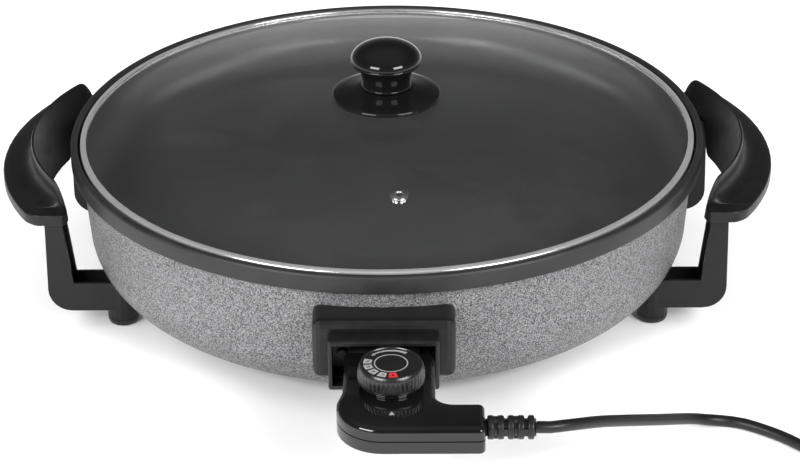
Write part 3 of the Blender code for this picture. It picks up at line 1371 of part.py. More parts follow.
def knob_fixing():
    under = GLASS_APEX - GLASS_WALL - GAP
    inner = KNOB_SCREW_RADIUS + GAP
    low = under - GASKET_WALL
    gasket = turned("knob_gasket", [(GASKET_RADIUS, under - GAP), (GASKET_RADIUS, low), (inner, low),
                                    (inner, under - GAP)], SMALL_STEPS, closed=True)
    head = low - GAP - KNOB_SCREW_HEAD_HEIGHT
    length = knob_foot() + KNOB_BORE_DEPTH - GAP * 2 - head
    screw = headed_screw("knob_screw", KNOB_SCREW_RADIUS, KNOB_SCREW_HEAD, KNOB_SCREW_HEAD_HEIGHT,
                         length, SCREW_STEPS)
    screw.data.transform(Matrix.Translation((0, 0, head)))
    return gasket, screw


def vent_eyelet():
    half = GLASS_WALL / 2 + GAP
    lip = VENT_FLANGE_HEIGHT
    edge = VENT_FLANGE - lip / 2
    profile = [(VENT_BORE + lip / 4, half + lip), (edge, half + lip), (VENT_FLANGE, half + lip / 2),
               (VENT_FLANGE, half), (VENT_SHANK, half), (VENT_SHANK, -half), (edge, -half),
               (edge, -half - lip / 2), (VENT_BORE, -half - lip / 2), (VENT_BORE, half + lip / 2)]
    obj = turned("vent_eyelet", profile, SMALL_STEPS, closed=True)
    obj.data.transform(vent_place())
    return obj


def corner_name(sx, sy):
    return ("left" if sx < 0 else "right") + "_" + ("front" if sy < 0 else "rear")


def build():
    base = bpy.data.objects.new("skillet_axis", None)
    bpy.data.collections[PARTS].objects.link(base)
    base.location.y = BODY_SHIFT
    lid = bpy.data.objects.new("lid_axis", None)
    probe = bpy.data.objects.new("probe_axis", None)
    for empty in (lid, probe):
        bpy.data.collections[PARTS].objects.link(empty)
        empty.parent = base
    finish(cooking_pan(), "nonstick", base)
    finish(outer_casing(), "hammertone", base)
    finish(heating_element(), "steel", base)
    finish(element_plate(), "aluminium", base)
    for obj in centre_tie():
        finish(obj, "steel", base)
    for sx in (-1, 1):
        for sy in (-1, 1):
            where = corner_name(sx, sy)
            finish(handle_arm("handle_arm_" + where, sx, sy), "bakelite", base)
            finish(foot("foot_" + where, sx, sy), "rubber", base)
            finish(arm_screw("arm_screw_" + where, sx, sy), "steel", base)
            finish(arm_nut("arm_nut_" + where, sx, sy), "steel", base)
            finish(grip_screw("grip_screw_" + where, sx, sy), "steel", base)
        finish(grip("grip_" + ("left" if sx < 0 else "right"), sx), "bakelite", base)
    finish(terminal_box(), "bakelite", base)
    finish(socket_cup(), "bakelite", base)
    finish(mounting_block(), "ceramic", base)
    finish(sensor_guide(), "brass", base)
    for side, word in ((-1, "left"), (1, "right")):
        finish(terminal_pin("terminal_pin_" + word, side), "steel", base)
        finish(socket_screw("socket_screw_" + word, side), "steel", base)
        finish(contact_sleeve("contact_sleeve_" + word, side), "brass", probe)
    finish(probe_upper_shell(), "gloss_black", probe)
    finish(probe_lower_shell(), "gloss_black", probe)
    for index, place in enumerate(zip(PROBE_POST_PLACES_X, PROBE_POST_PLACES_Y)):
        finish(probe_screw("probe_screw_" + ("left", "right")[index], *place), "steel", probe)
    finish(contact_block(), "ceramic", probe)
    finish(sensor_rod(), "steel", probe)
    finish(thermostat_unit(), "ceramic", probe)
    finish(dial_collar(), "gloss_black", probe)
    finish(dial(), "gloss_black", probe)
    finish(dial_shaft(), "steel", probe)
    finish(strain_relief(), "rubber", probe)
    finish(free_cord(), "rubber", probe)
    finish(cord_coil(), "rubber", probe)
    finish(plug(), "rubber", probe)
    finish(lid_glass(), "glass", lid)
    finish(lid_band(), "steel", lid)
    finish(knob_base(), "gloss_black", lid)
    finish(knob(), "gloss_black", lid)
    for obj, slot in zip(knob_fixing(), ("silicone", "steel")):
        finish(obj, slot, lid)
    finish(vent_eyelet(), "steel", lid)


clear_scene()
SLOTS = build_materials()
build()
bpy.context.view_layer.update()
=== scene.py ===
import bpy
import bmesh
import json
from math import asin, atan2, copysign, cos, hypot, pi, radians, sin, sqrt, tan, tau
from mathutils import Matrix, Vector


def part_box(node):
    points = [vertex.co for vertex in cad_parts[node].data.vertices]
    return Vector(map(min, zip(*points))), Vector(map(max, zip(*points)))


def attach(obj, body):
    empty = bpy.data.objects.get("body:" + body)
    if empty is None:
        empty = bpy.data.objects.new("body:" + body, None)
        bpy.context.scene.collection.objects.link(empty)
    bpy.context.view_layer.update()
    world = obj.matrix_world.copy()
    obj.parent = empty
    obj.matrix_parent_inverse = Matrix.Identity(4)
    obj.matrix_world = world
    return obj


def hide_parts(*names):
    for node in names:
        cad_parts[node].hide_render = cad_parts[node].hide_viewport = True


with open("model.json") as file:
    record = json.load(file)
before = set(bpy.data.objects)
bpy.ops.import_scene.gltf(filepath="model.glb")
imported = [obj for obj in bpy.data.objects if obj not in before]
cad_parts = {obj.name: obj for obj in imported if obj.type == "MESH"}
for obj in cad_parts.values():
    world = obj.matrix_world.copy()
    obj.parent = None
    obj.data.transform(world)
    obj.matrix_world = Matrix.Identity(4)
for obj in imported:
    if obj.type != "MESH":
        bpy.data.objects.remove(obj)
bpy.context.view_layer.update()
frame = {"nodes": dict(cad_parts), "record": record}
print("frame loaded:", len(frame["nodes"]), "solids")

scene = bpy.context.scene
rimRadius = 0.208
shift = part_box("cooking_pan")[0].y + rimRadius  # the pan's axis stands this far behind the origin
gap = 0.0003  # left between pieces that touch
past = 0.002  # how far a cutting or joined piece runs past the face it meets

# small tools for building meshes

def linkMesh(name, bm):
    bmesh.ops.remove_doubles(bm, verts=bm.verts, dist=0.000005)
    bmesh.ops.recalc_face_normals(bm, faces=bm.faces)
    mesh = bpy.data.meshes.new(name)
    bm.to_mesh(mesh)
    bm.free()
    piece = bpy.data.objects.new(name, mesh)
    scene.collection.objects.link(piece)
    return piece

def spinProfile(name, profile, steps, closed=False):
    # profile is (radius, height); a point on the axis closes to one vertex
    bm = bmesh.new()
    rings = []
    for radius, height in profile:
        if radius < 0.000001:
            rings.append([bm.verts.new((0, 0, height))] * steps)
        else:
            rings.append([bm.verts.new((radius * cos(tau * k / steps),
                                        radius * sin(tau * k / steps), height))
                          for k in range(steps)])
    pairs = list(zip(rings[:-1], rings[1:]))
    if closed:
        pairs.append((rings[-1], rings[0]))
    for near, far in pairs:
        for k in range(steps):
            j = (k + 1) % steps
            corners = []
            for v in (near[k], near[j], far[j], far[k]):
                if v not in corners:
                    corners.append(v)
            if len(corners) > 2:
                bm.faces.new(corners)
    return linkMesh(name, bm)

def arcPoints(centre, radius, start, end, steps):
    return [(centre[0] + radius * cos(radians(start + (end - start) * k / steps)),
             centre[1] + radius * sin(radians(start + (end - start) * k / steps)))
            for k in range(steps + 1)]

def roundedOutline(corners, inset, steps):
    # corners are (x, y, radius), counter-clockwise
    moved = []
    count = len(corners)
    for i in range(count):
        before, here, after = [Vector(corners[j % count][:2]) for j in (i - 1, i, i + 1)]
        first, second = (here - before).normalized(), (after - here).normalized()
        turn = first.cross(second)
        bisect = Vector((-first.y - second.y, first.x + second.x))
        place = here + bisect * (inset / (1 + first.dot(second)))
        moved.append((place, max(corners[i][2] - copysign(inset, turn), 0.00005)))
    points = []
    for i in range(count):
        before, (here, radius), after = moved[i - 1][0], moved[i], moved[(i + 1) % count][0]
        first, second = (here - before).normalized(), (after - here).normalized()
        turn = atan2(first.cross(second), first.dot(second))
        side = copysign(1.0, turn)
        centre = here - first * radius * tan(abs(turn) / 2) + Vector((-first.y, first.x)) * radius * side
        arm = here - first * radius * tan(abs(turn) / 2) - centre
        points += [centre + Matrix.Rotation(turn * k / steps, 2) @ arm for k in range(steps + 1)]
    return points

def joinRings(bm, rings):
    for near, far in zip(rings[:-1], rings[1:]):
        for i in range(len(near)):
            j = (i + 1) % len(near)
            bm.faces.new((near[i], near[j], far[j], far[i]))
    bm.faces.new(rings[0][::-1])
    bm.faces.new(rings[-1])

def loftOutlines(name, outlines):
    # outlines is a list of (points, height), each with the same number of points
    bm = bmesh.new()
    joinRings(bm, [[bm.verts.new((p[0], p[1], height)) for p in points] for points, height in outlines])
    return linkMesh(name, bm)

def boxPiece(name, low, high):
    bm = bmesh.new()
    bmesh.ops.create_cube(bm, size=1.0)
    size, middle = Vector(high) - Vector(low), (Vector(high) + Vector(low)) / 2
    bmesh.ops.transform(bm, matrix=Matrix.Diagonal((*size, 1)), verts=bm.verts)
    bmesh.ops.translate(bm, vec=middle, verts=bm.verts)
    return linkMesh(name, bm)

def rodPiece(name, radius, start, end, steps=32):
    start, end = Vector(start), Vector(end)
    length = (end - start).length
    piece = spinProfile(name, [(0, 0), (radius, 0), (radius, length), (0, length)], steps)
    turn = (end - start).to_track_quat("Z", "Y").to_matrix().to_4x4()
    piece.data.transform(Matrix.Translation(start) @ turn)
    return piece

def carve(piece, tool, operation="DIFFERENCE"):
    modifier = piece.modifiers.new("carve", "BOOLEAN")
    modifier.operation = operation
    modifier.solver = "EXACT"
    modifier.object = tool
    bakeModifiers(piece)
    bpy.data.objects.remove(tool, do_unlink=True)

def bakeModifiers(piece):
    bpy.context.view_layer.update()
    mesh = bpy.data.meshes.new_from_object(piece.evaluated_get(bpy.context.evaluated_depsgraph_get()))
    piece.modifiers.clear()
    piece.data = mesh

def softenEdges(piece, width):
    bevel = piece.modifiers.new("soft edges", "BEVEL")
    bevel.width = width
    bevel.segments = 2
    bevel.limit_method = "ANGLE"
    bevel.angle_limit = radians(35)
    bevel.harden_normals = True
    bevel.miter_outer = "MITER_ARC"

def shadeSmooth(piece, angle=32.0):
    piece.data.shade_smooth()
    piece.data.set_sharp_from_angle(angle=radians(angle))

def placePiece(piece, body, material, replaced=(), move=(0, 0, 0), angle=32.0):
    # moved in its mesh to the pan's axis, so that its texture stays with the other pieces'
    piece.data.transform(Matrix.Translation((move[0], move[1] + shift, move[2])))
    piece.data.materials.clear()
    piece.data.materials.append(material)
    shadeSmooth(piece, angle)
    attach(piece, body)
    if replaced:
        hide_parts(*replaced)

# camera; the cord's unseen part was judged from its view

cameraValues = {
    "azimuth": 0.6, "elevation": 27.8035, "roll": -0.577, "distance": 1.64759,
    "aimHeight": 0.11288, "slideRight": 0.008713, "slideUp": -0.077241, "lens": 112.5, "sensor": 36.0,
}

def makeCamera(v):
    azimuth, elevation, roll = [radians(v[k]) for k in ("azimuth", "elevation", "roll")]
    back = Vector((sin(azimuth) * cos(elevation), -cos(azimuth) * cos(elevation),
                   sin(elevation)))
    right = Vector((cos(azimuth), sin(azimuth), 0))
    up = back.cross(right)
    tiltedRight = right * cos(roll) + up * sin(roll)
    tiltedUp = up * cos(roll) - right * sin(roll)
    aim = Vector((0, shift, v["aimHeight"])) + tiltedRight * v["slideRight"] + tiltedUp * v["slideUp"]
    data = bpy.data.cameras.new("camera")
    data.lens = v["lens"]
    data.sensor_width = v["sensor"]
    camera = bpy.data.objects.new("camera", data)
    scene.collection.objects.link(camera)
    turn = Matrix((tiltedRight, tiltedUp, back)).transposed().to_4x4()
    camera.matrix_world = Matrix.Translation(aim + back * v["distance"]) @ turn
    scene.camera = camera

makeCamera(cameraValues)
scene.view_settings.view_transform = "Standard"
print("camera set")

# shared effects

def newGroup(name, inputs, outputs):
    group = bpy.data.node_groups.new(name, "ShaderNodeTree")
    for socketName, kind, value in inputs:
        made = group.interface.new_socket(name=socketName, in_out="INPUT", socket_type=kind)
        made.default_value = value
    for socketName, kind in outputs:
        group.interface.new_socket(name=socketName, in_out="OUTPUT", socket_type=kind)
    return group, group.nodes.new("NodeGroupInput"), group.nodes.new("NodeGroupOutput")

def addNode(tree, kind, links=None, **values):
    # links go to sockets by number, in_N sets socket N and the rest are the node's own settings
    node = tree.nodes.new(kind)
    for key, value in values.items():
        if key.startswith("in_"):
            node.inputs[int(key[3:])].default_value = value
        else:
            setattr(node, key, value)
    for index, source in (links or {}).items():
        tree.links.new(source, node.inputs[index])
    return node

def mathNode(tree, operation, first, second=0.0):
    node = tree.nodes.new("ShaderNodeMath")
    node.operation = operation
    for socket, value in zip(node.inputs, (first, second)):
        if isinstance(value, (int, float)):
            socket.default_value = value
        else:
            tree.links.new(value, socket)
    return node.outputs[0]

def rampNode(tree, factor, stops, interpolation="LINEAR"):
    node = tree.nodes.new("ShaderNodeValToRGB")
    node.color_ramp.interpolation = interpolation
    while len(node.color_ramp.elements) < len(stops):
        node.color_ramp.elements.new(0.5)
    for element, (position, colour) in zip(node.color_ramp.elements, stops):
        element.position = position
        element.color = (*colour, 1) if hasattr(colour, "__len__") else (colour, colour, colour, 1)
    tree.links.new(factor, node.inputs[0])
    return node.outputs[0]

def grainGroup():
    # fine moulded or cast grain: a height for bump and a slow mottle for roughness
    group, start, end = newGroup("fineGrain", [("Scale", "NodeSocketFloat", 900.0)],
                                 [("Height", "NodeSocketFloat"), ("Mottle", "NodeSocketFloat")])
    place = addNode(group, "ShaderNodeTexCoord").outputs["Object"]
    fine = addNode(group, "ShaderNodeTexNoise", {0: place}, in_3=3.0)
    group.links.new(start.outputs["Scale"], fine.inputs["Scale"])
    coarse = addNode(group, "ShaderNodeTexNoise", {0: place}, in_3=4.0)
    group.links.new(mathNode(group, "MULTIPLY", start.outputs["Scale"], 0.05), coarse.inputs["Scale"])
    group.links.new(fine.outputs[0], end.inputs["Height"])
    group.links.new(coarse.outputs[0], end.inputs["Mottle"])
    return group

def hammerGroup():
    # the crawled marks of hammered paint: winding dark grooves round paler islands
    group, start, end = newGroup("hammerMarks", [("Scale", "NodeSocketFloat", 420.0)],
                                 [("Height", "NodeSocketFloat"), ("Groove", "NodeSocketFloat"),
                                  ("Cloud", "NodeSocketFloat")])
    place = addNode(group, "ShaderNodeTexCoord").outputs["Object"]
    warp = addNode(group, "ShaderNodeTexNoise", {0: place}, in_3=2.0)
    group.links.new(start.outputs["Scale"], warp.inputs["Scale"])
    bent = addNode(group, "ShaderNodeVectorMath", {0: warp.outputs[1]}, operation="SCALE")
    bent.inputs[3].default_value = 0.0012
    moved = addNode(group, "ShaderNodeVectorMath", {0: place, 1: bent.outputs[0]}, operation="ADD")
    cells = addNode(group, "ShaderNodeTexNoise", {0: moved.outputs[0]}, in_3=1.5, in_4=0.55)
    group.links.new(start.outputs["Scale"], cells.inputs["Scale"])
    ridge = mathNode(group, "ABSOLUTE", mathNode(group, "SUBTRACT", cells.outputs[0], 0.5))
    height = rampNode(group, ridge, [(0.0, 0.0), (0.035, 0.45), (0.12, 1.0)], "EASE")
    group.links.new(height, end.inputs["Height"])
    groove = rampNode(group, ridge, [(0.0, 0.0), (0.035, 0.12), (0.085, 0.85), (0.14, 1.0)])
    group.links.new(groove, end.inputs["Groove"])
    cloud = addNode(group, "ShaderNodeTexNoise", {0: place}, in_2=22.0, in_3=3.0)
    group.links.new(cloud.outputs[0], end.inputs["Cloud"])
    return group

shared = {"grain": grainGroup(), "hammer": hammerGroup()}

def startMaterial(name):
    material = bpy.data.materials.new(name)
    material.use_nodes = True
    return material, material.node_tree, material.node_tree.nodes["Principled BSDF"]

def useGroup(tree, key, scale):
    node = tree.nodes.new("ShaderNodeGroup")
    node.node_tree = shared[key]
    node.inputs["Scale"].default_value = scale
    return node

def linkBump(tree, shader, height, strength, distance):
    bump = tree.nodes.new("ShaderNodeBump")
    bump.inputs["Strength"].default_value = strength
    bump.inputs["Distance"].default_value = distance
    tree.links.new(height, bump.inputs["Height"])
    tree.links.new(bump.outputs[0], shader.inputs["Normal"])

def linkRamp(tree, factor, stops, socket):
    tree.links.new(rampNode(tree, factor, stops), socket)

def grainedMaterial(name, dark, light, low, high, scale, bump, depth, metallic=0.0, specular=0.5):
    material, tree, shader = startMaterial(name)
    grain = useGroup(tree, "grain", scale)
    linkRamp(tree, grain.outputs["Mottle"], [(0.3, dark), (0.7, light)], shader.inputs["Base Color"])
    linkRamp(tree, grain.outputs["Mottle"], [(0.3, low), (0.7, high)], shader.inputs["Roughness"])
    shader.inputs["Metallic"].default_value = metallic
    shader.inputs["Specular IOR Level"].default_value = specular
    linkBump(tree, shader, grain.outputs["Height"], bump, depth)
    return material

hammerValues = {"groove": (0.01, 0.01, 0.011), "island": (0.33, 0.332, 0.338), "cloud": (0.9, 1.0),
                "rough": (0.62, 0.46), "metallic": 0.25, "scale": 1020.0, "bump": 0.5, "depth": 0.00025}

def hammertoneMaterial(v):
    material, tree, shader = startMaterial("hammertonePaint")
    marks = useGroup(tree, "hammer", v["scale"])
    groove = marks.outputs["Groove"]
    mixed = addNode(tree, "ShaderNodeMix", data_type="RGBA", blend_type="MULTIPLY")
    mixed.inputs["Factor"].default_value = 1.0
    linkRamp(tree, groove, [(0.0, v["groove"]), (1.0, v["island"])], mixed.inputs[6])
    linkRamp(tree, marks.outputs["Cloud"], [(0.3, v["cloud"][0]), (0.7, v["cloud"][1])], mixed.inputs[7])
    tree.links.new(mixed.outputs[2], shader.inputs["Base Color"])
    linkRamp(tree, groove, [(0.0, v["rough"][0]), (1.0, v["rough"][1])], shader.inputs["Roughness"])
    shader.inputs["Metallic"].default_value = v["metallic"]
    linkBump(tree, shader, marks.outputs["Height"], v["bump"], v["depth"])
    return material

glassValues = {"colour": (0.965, 0.97, 0.968), "ior": 1.5, "scale": 60.0, "haze": 0.012, "clear": 0.85}

def glassMaterial(v):
    material, tree, shader = startMaterial("clearGlass")
    shader.inputs["Base Color"].default_value = (*v["colour"], 1)
    shader.inputs["Transmission Weight"].default_value = 1.0
    shader.inputs["IOR"].default_value = v["ior"]
    grain = useGroup(tree, "grain", v["scale"])
    linkRamp(tree, grain.outputs["Mottle"], [(0.3, 0.0), (0.7, v["haze"])], shader.inputs["Roughness"])
    shadow = tree.nodes.new("ShaderNodeLightPath").outputs["Is Shadow Ray"]  # lamps shine through it
    tree.links.new(mathNode(tree, "SUBTRACT", 1.0, mathNode(tree, "MULTIPLY", shadow, v["clear"])),
                   shader.inputs["Alpha"])
    return material

def printMaterial(name, colour):
    material, tree, shader = startMaterial(name)
    grain = useGroup(tree, "grain", 2500.0)
    worn = tuple(c * 0.8 for c in colour)
    linkRamp(tree, grain.outputs["Height"], [(0.3, worn), (0.6, colour)], shader.inputs["Base Color"])
    shader.inputs["Roughness"].default_value = 0.45
    return material

# name, dark and light colour, low and high roughness, grain scale, bump strength and depth, then
# metallic and specular where they aren't 0 and 0.5
finishValues = {
    "nonstick": ("nonstickCoating", (0.016, 0.016, 0.017), (0.024, 0.024, 0.025), 0.3, 0.38,
        1500.0, 0.1, 0.00008),
    "rim": ("nonstickRim", (0.01, 0.01, 0.0105), (0.018, 0.018, 0.0185), 0.42, 0.52,
        1300.0, 0.5, 0.0002, 0.0, 0.4),
    "bakelite": ("mouldedResin", (0.005, 0.005, 0.0052), (0.0075, 0.0075, 0.0077), 0.36, 0.46,
        2600.0, 0.18, 0.00006, 0.0, 0.32),
    "gloss_black": ("polishedMoulding", (0.004, 0.004, 0.0042), (0.006, 0.006, 0.0062), 0.05, 0.09,
        500.0, 0.02, 0.00003),
    "knobBlack": ("knobMoulding", (0.004, 0.004, 0.0042), (0.006, 0.006, 0.0062), 0.05, 0.09,
        500.0, 0.02, 0.00003, 0.0, 0.35),
    "dialBlack": ("satinMoulding", (0.006, 0.006, 0.0062), (0.009, 0.009, 0.0092), 0.24, 0.32,
        900.0, 0.06, 0.00004),
    "rubber": ("blackRubber", (0.0055, 0.0055, 0.0055), (0.0085, 0.0085, 0.0085), 0.34, 0.44,
        2200.0, 0.15, 0.00006, 0.0, 0.35),
    "steel": ("polishedSteel", (0.62, 0.62, 0.61), (0.72, 0.72, 0.71), 0.1, 0.18,
        700.0, 0.04, 0.00004, 1.0),
    "bandSteel": ("satinSteel", (0.76, 0.76, 0.75), (0.86, 0.86, 0.85), 0.13, 0.19,
        700.0, 0.04, 0.00004, 0.78),
    "aluminium": ("millAluminium", (0.55, 0.56, 0.57), (0.68, 0.69, 0.7), 0.3, 0.42,
        900.0, 0.15, 0.00006, 1.0),
    "brass": ("plainBrass", (0.62, 0.43, 0.16), (0.75, 0.56, 0.25), 0.22, 0.36,
        900.0, 0.1, 0.00005, 1.0),
    "ceramic": ("insulatingCeramic", (0.62, 0.6, 0.54), (0.75, 0.73, 0.67), 0.6, 0.75,
        1800.0, 0.25, 0.0001),
    "silicone": ("paleSilicone", (0.58, 0.58, 0.56), (0.68, 0.68, 0.66), 0.42, 0.52,
        1500.0, 0.08, 0.00005),
    # fittings deep in the socket: near-black as painted shade of the recess, not the colour of their
    # steel, brass or ceramic
    "socketShade": ("recessShadeFittings", (0.01, 0.01, 0.01), (0.02, 0.02, 0.02), 0.4, 0.55,
        1200.0, 0.1, 0.00005, 0.0, 0.3),
}
printColours = {"greyPrint": (0.26, 0.26, 0.265), "darkPrint": (0.02, 0.02, 0.021),
                "redPrint": (0.52, 0.02, 0.028)}
finishes = {key: grainedMaterial(*values) for key, values in finishValues.items()}
finishes.update({name: printMaterial(name, colour) for name, colour in printColours.items()})
finishes["hammertone"] = hammertoneMaterial(hammerValues)
finishes["glass"] = glassMaterial(glassValues)

# pins, screws and blocks inside the socket take the near-black finish, painted shade of the dark recess
recessShadedNodes = ("socket_screw", "terminal_pin", "mounting_block", "sensor_guide", "contact_block")
slotOf = {row["node"]: row["material_slot"] for row in frame["record"]["subparts"]}
for node, solid in frame["nodes"].items():
    solid.data.materials.clear()
    solid.data.materials.append(finishes["socketShade" if node.startswith(recessShadedNodes) else slotOf[node]])
    shadeSmooth(solid)
print("finishes made:", len(finishes))

# the cord, along the same route as its solids

cordValues = {
    "radius": 0.0035, "lift": 0.0002, "step": 0.008, "coilCentre": (0.3112, -0.2257), "coilStart": 225.0,
    "loops": 4.375, "loopPoints": 36, "coilOuter": 0.0461, "coilGap": 0.0006, "lead": 0.008,
    "route": ((0.0871, -0.2943, 0.0572), (0.095, -0.2943, 0.0571), (0.106, -0.289, 0.0552),
              (0.125, -0.273, 0.0474), (0.1455, -0.252, 0.035), (0.166, -0.2305, 0.022),
              (0.1838, -0.212, 0.011), (0.195, -0.205, 0.0058), (0.206, -0.2033, 0.0037),
              (0.218, -0.207, 0.0037), (0.237, -0.22, 0.0037), (0.253, -0.236, 0.0037)),
}

def smoothRoute(points, step):
    # an even walk along the Catmull-Rom curve through the points
    pts = [Vector(p) for p in points]
    pts = [pts[0] * 2 - pts[1]] + pts + [pts[-1] * 2 - pts[-2]]
    fine = []
    for i in range(1, len(pts) - 2):
        a, b, c, d = pts[i - 1:i + 3]
        for k in range(20):
            t = k / 20
            fine.append(0.5 * (2 * b + (c - a) * t + (2 * a - 5 * b + 4 * c - d) * t * t
                               + (3 * b - a - 3 * c + d) * t ** 3))
    fine.append(pts[-2])
    lengths = [0.0]
    for near, far in zip(fine[:-1], fine[1:]):
        lengths.append(lengths[-1] + (far - near).length)
    count = max(round(lengths[-1] / step), 2)
    walked, index = [], 0
    for k in range(count + 1):
        target = lengths[-1] * k / count
        while index < len(lengths) - 2 and lengths[index + 1] < target:
            index += 1
        walked.append(fine[index].lerp(fine[index + 1], (target - lengths[index])
                                       / (lengths[index + 1] - lengths[index])))
    return walked

def coilRoute(v):
    pitch = v["radius"] * 2 + v["coilGap"]
    whole = tau * v["loops"]
    count = round(v["loops"] * v["loopPoints"])
    points = []
    for k in range(count + 1):
        angle = whole * k / count
        radius = v["coilOuter"] - pitch * min(angle, whole - angle) / tau
        climb = min(max((angle - whole / 2) / pi + 0.5, 0.0), 1.0)
        turn = radians(v["coilStart"]) + angle
        points.append(Vector((v["coilCentre"][0] + radius * cos(turn),
                              v["coilCentre"][1] + radius * sin(turn),
                              v["radius"] + v["lift"] + pitch * climb)))
    first = (points[0] - points[1]).normalized()
    last = (points[-1] - points[-2]).normalized()
    return [points[0] + first * v["lead"]] + points + [points[-1] + last * v["lead"]]

def makeCord(v):
    coil = coilRoute(v)
    back = (coil[0] - coil[1]).normalized()
    start = Vector(v["route"][0])
    free = [start] + smoothRoute(list(v["route"][1:]) + [coil[0] + back * (v["lead"] + gap)], v["step"])
    points = [p + Vector((0, shift, 0)) for p in free + coil]
    curve = bpy.data.curves.new("power_cord", "CURVE")
    curve.dimensions = "3D"
    curve.bevel_depth = v["radius"]
    curve.bevel_resolution = 4
    curve.use_fill_caps = True
    spline = curve.splines.new("POLY")
    spline.points.add(len(points) - 1)
    for target, point in zip(spline.points, points):
        target.co = (*point, 1)
    spline.use_smooth = True
    cord = bpy.data.objects.new("power_cord", curve)
    scene.collection.objects.link(cord)
    curve.materials.append(finishes["rubber"])
    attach(cord, "probe")
    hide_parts("cord", "cord_coil")
    length = sum((b - a).length for a, b in zip(points[:-1], points[1:]))
    return cord, points, length

plugValues = {"radius": 0.0172, "waist": 0.0125, "neck": 0.0058, "body": 0.036, "neckLength": 0.012,
              "pinRadius": 0.0024, "pinLength": 0.019, "pinSpacing": 0.019, "flat": 0.8}

def makePlug(v, coil):
    along = (coil[-1] - coil[-2]).normalized()
    start = coil[-1] + along * gap
    low, high = v["neckLength"], v["neckLength"] + v["body"]
    profile = [(0, 0), (v["neck"] * 0.94, 0)]
    for k in range(3):  # ribs that let the neck bend
        z = low * (0.12 + 0.27 * k)
        profile += [(v["neck"], z), (v["neck"], z + low * 0.11), (v["neck"] * 0.8, z + low * 0.15),
                    (v["neck"] * 0.8, z + low * 0.23)]
    profile += [(v["neck"], low - v["neck"] / 2), (v["neck"] * 1.5, low),
                (v["waist"] * 0.96, (low * 2 + high) / 3), (v["waist"], (low + high) / 2),
                (v["radius"] * 0.95, high - v["neck"] * 1.6), (v["radius"], high - v["neck"])]
    profile += arcPoints((v["radius"] - v["neck"] / 4, high - v["neck"] / 4), v["neck"] / 4, 0, 90, 4)
    profile += [(0, high)]
    plug = spinProfile("plug_moulding", profile, 48)
    for side in (-1, 1):
        y = side * v["pinSpacing"] / 2
        pin = rodPiece("plug_pin", v["pinRadius"], (y, 0, high - past), (y, 0, high + v["pinLength"]), 24)
        carve(plug, pin, "UNION")
    plug.data.transform(Matrix.Scale(v["flat"], 4, (0, 1, 0)))
    tilt = atan2(v["radius"] * v["flat"] + cordValues["lift"] - start.z, high)
    turn = (Matrix.Rotation(atan2(along.y, along.x), 4, "Z")
            @ Matrix.Rotation(pi / 2 - tilt, 4, "Y") @ Matrix.Rotation(pi / 2, 4, "Z"))
    plug.data.transform(Matrix.Translation(start) @ turn)
    placePiece(plug, "probe", finishes["rubber"], ["plug"])
    plug.data.materials.append(finishes["steel"])
    heading = Vector((along.x, along.y, 0)).normalized()
    end = start + heading * (high + 0.0004)
    for face in plug.data.polygons:
        if (face.center - Vector((0, shift, 0)) - end).dot(heading) > 0.0004:
            face.material_index = 1
    return plug

plug = makePlug(plugValues, coilRoute(cordValues))
cord, cordPoints, cordLength = makeCord(cordValues)
print("cord laid:", round(cordLength, 3), "m")

# pan, casing and lid, turned finer than their solids

panValues = {"rim": rimRadius, "top": 0.1068, "skirt": 0.0118, "skirtWall": 0.002, "bead": 0.0048,
             "ledge": 0.0995, "radius": 0.1975, "floor": 0.072, "wall": 0.0025, "corner": 0.0195,
             "ledgeEdge": 0.0012, "skirtEdge": 0.0006, "steps": 144}

def makePan(v):
    bead, ledgeEdge, skirtEdge = v["bead"] / 2, v["ledgeEdge"], v["skirtEdge"]
    centre = (v["radius"] - v["corner"], v["floor"] + v["corner"])
    profile = [(0, v["floor"]), (v["radius"] * 0.5, v["floor"])]
    profile += arcPoints(centre, v["corner"], -90, 0, 10)
    profile += arcPoints((v["radius"] + ledgeEdge, v["ledge"] - ledgeEdge), ledgeEdge, 180, 90, 3)
    profile += [(v["rim"] - v["bead"], v["ledge"])]
    profile += arcPoints((v["rim"] - bead, v["top"] - bead), bead, 180, 0, 10)
    low = v["top"] - v["skirt"]
    profile += arcPoints((v["rim"] - skirtEdge, low + skirtEdge), skirtEdge, 0, -90, 3)
    profile += [(v["rim"] - v["skirtWall"], low), (v["rim"] - v["skirtWall"], v["ledge"] - v["wall"]),
                (v["radius"] + v["wall"], v["ledge"] - v["wall"])]
    profile += arcPoints(centre, v["corner"] + v["wall"], 0, -90, 8)
    profile += [(0, v["floor"] - v["wall"])]
    pan = spinProfile("pan_coated", profile, v["steps"])
    placePiece(pan, "base", finishes["nonstick"], ["cooking_pan"], angle=40)
    pan.data.materials.append(finishes["rim"])
    for face in pan.data.polygons:  # the rim's coating is duller than the inside
        if hypot(face.center.x, face.center.y - shift) > v["radius"] + 0.003:
            face.material_index = 1

casingValues = {"radius": 0.202, "taper": 0.0035, "corner": 0.038, "wall": 0.0012, "base": 0.011,
                "top": 0.0967, "steps": 144}

def makeCasing(v):
    profile = [(0, v["base"] + v["wall"])]
    low = v["radius"] - v["taper"]
    centre = (low - v["corner"], v["base"] + v["corner"])
    profile += arcPoints(centre, v["corner"] - v["wall"], -90, 0, 10)
    profile += [(v["radius"] - v["wall"], v["top"]), (v["radius"], v["top"])]
    profile += arcPoints(centre, v["corner"], 0, -90, 12)
    profile += [(0, v["base"])]
    casing = spinProfile("casing_drawn", profile, v["steps"])
    placePiece(casing, "base", finishes["hammertone"], ["outer_casing"])

lidValues = {"radius": 0.1994, "wall": 0.004, "edge": 0.0012, "edgeTop": 0.1049, "rise": 0.024,
             "hole": 0.0032, "ventAway": 0.127, "ventAngle": -86.0, "ventShank": 0.0042,
             "ventBore": 0.0021, "ventFlange": 0.0058, "ventLip": 0.0013, "steps": 144, "rings": 12,
             "bandRadius": 0.2016, "bandWall": 0.0008, "bandLip": 0.0038, "bandLow": 0.0998}

def domeRadius(v):
    return (v["radius"] ** 2 + v["rise"] ** 2) / (2 * v["rise"])

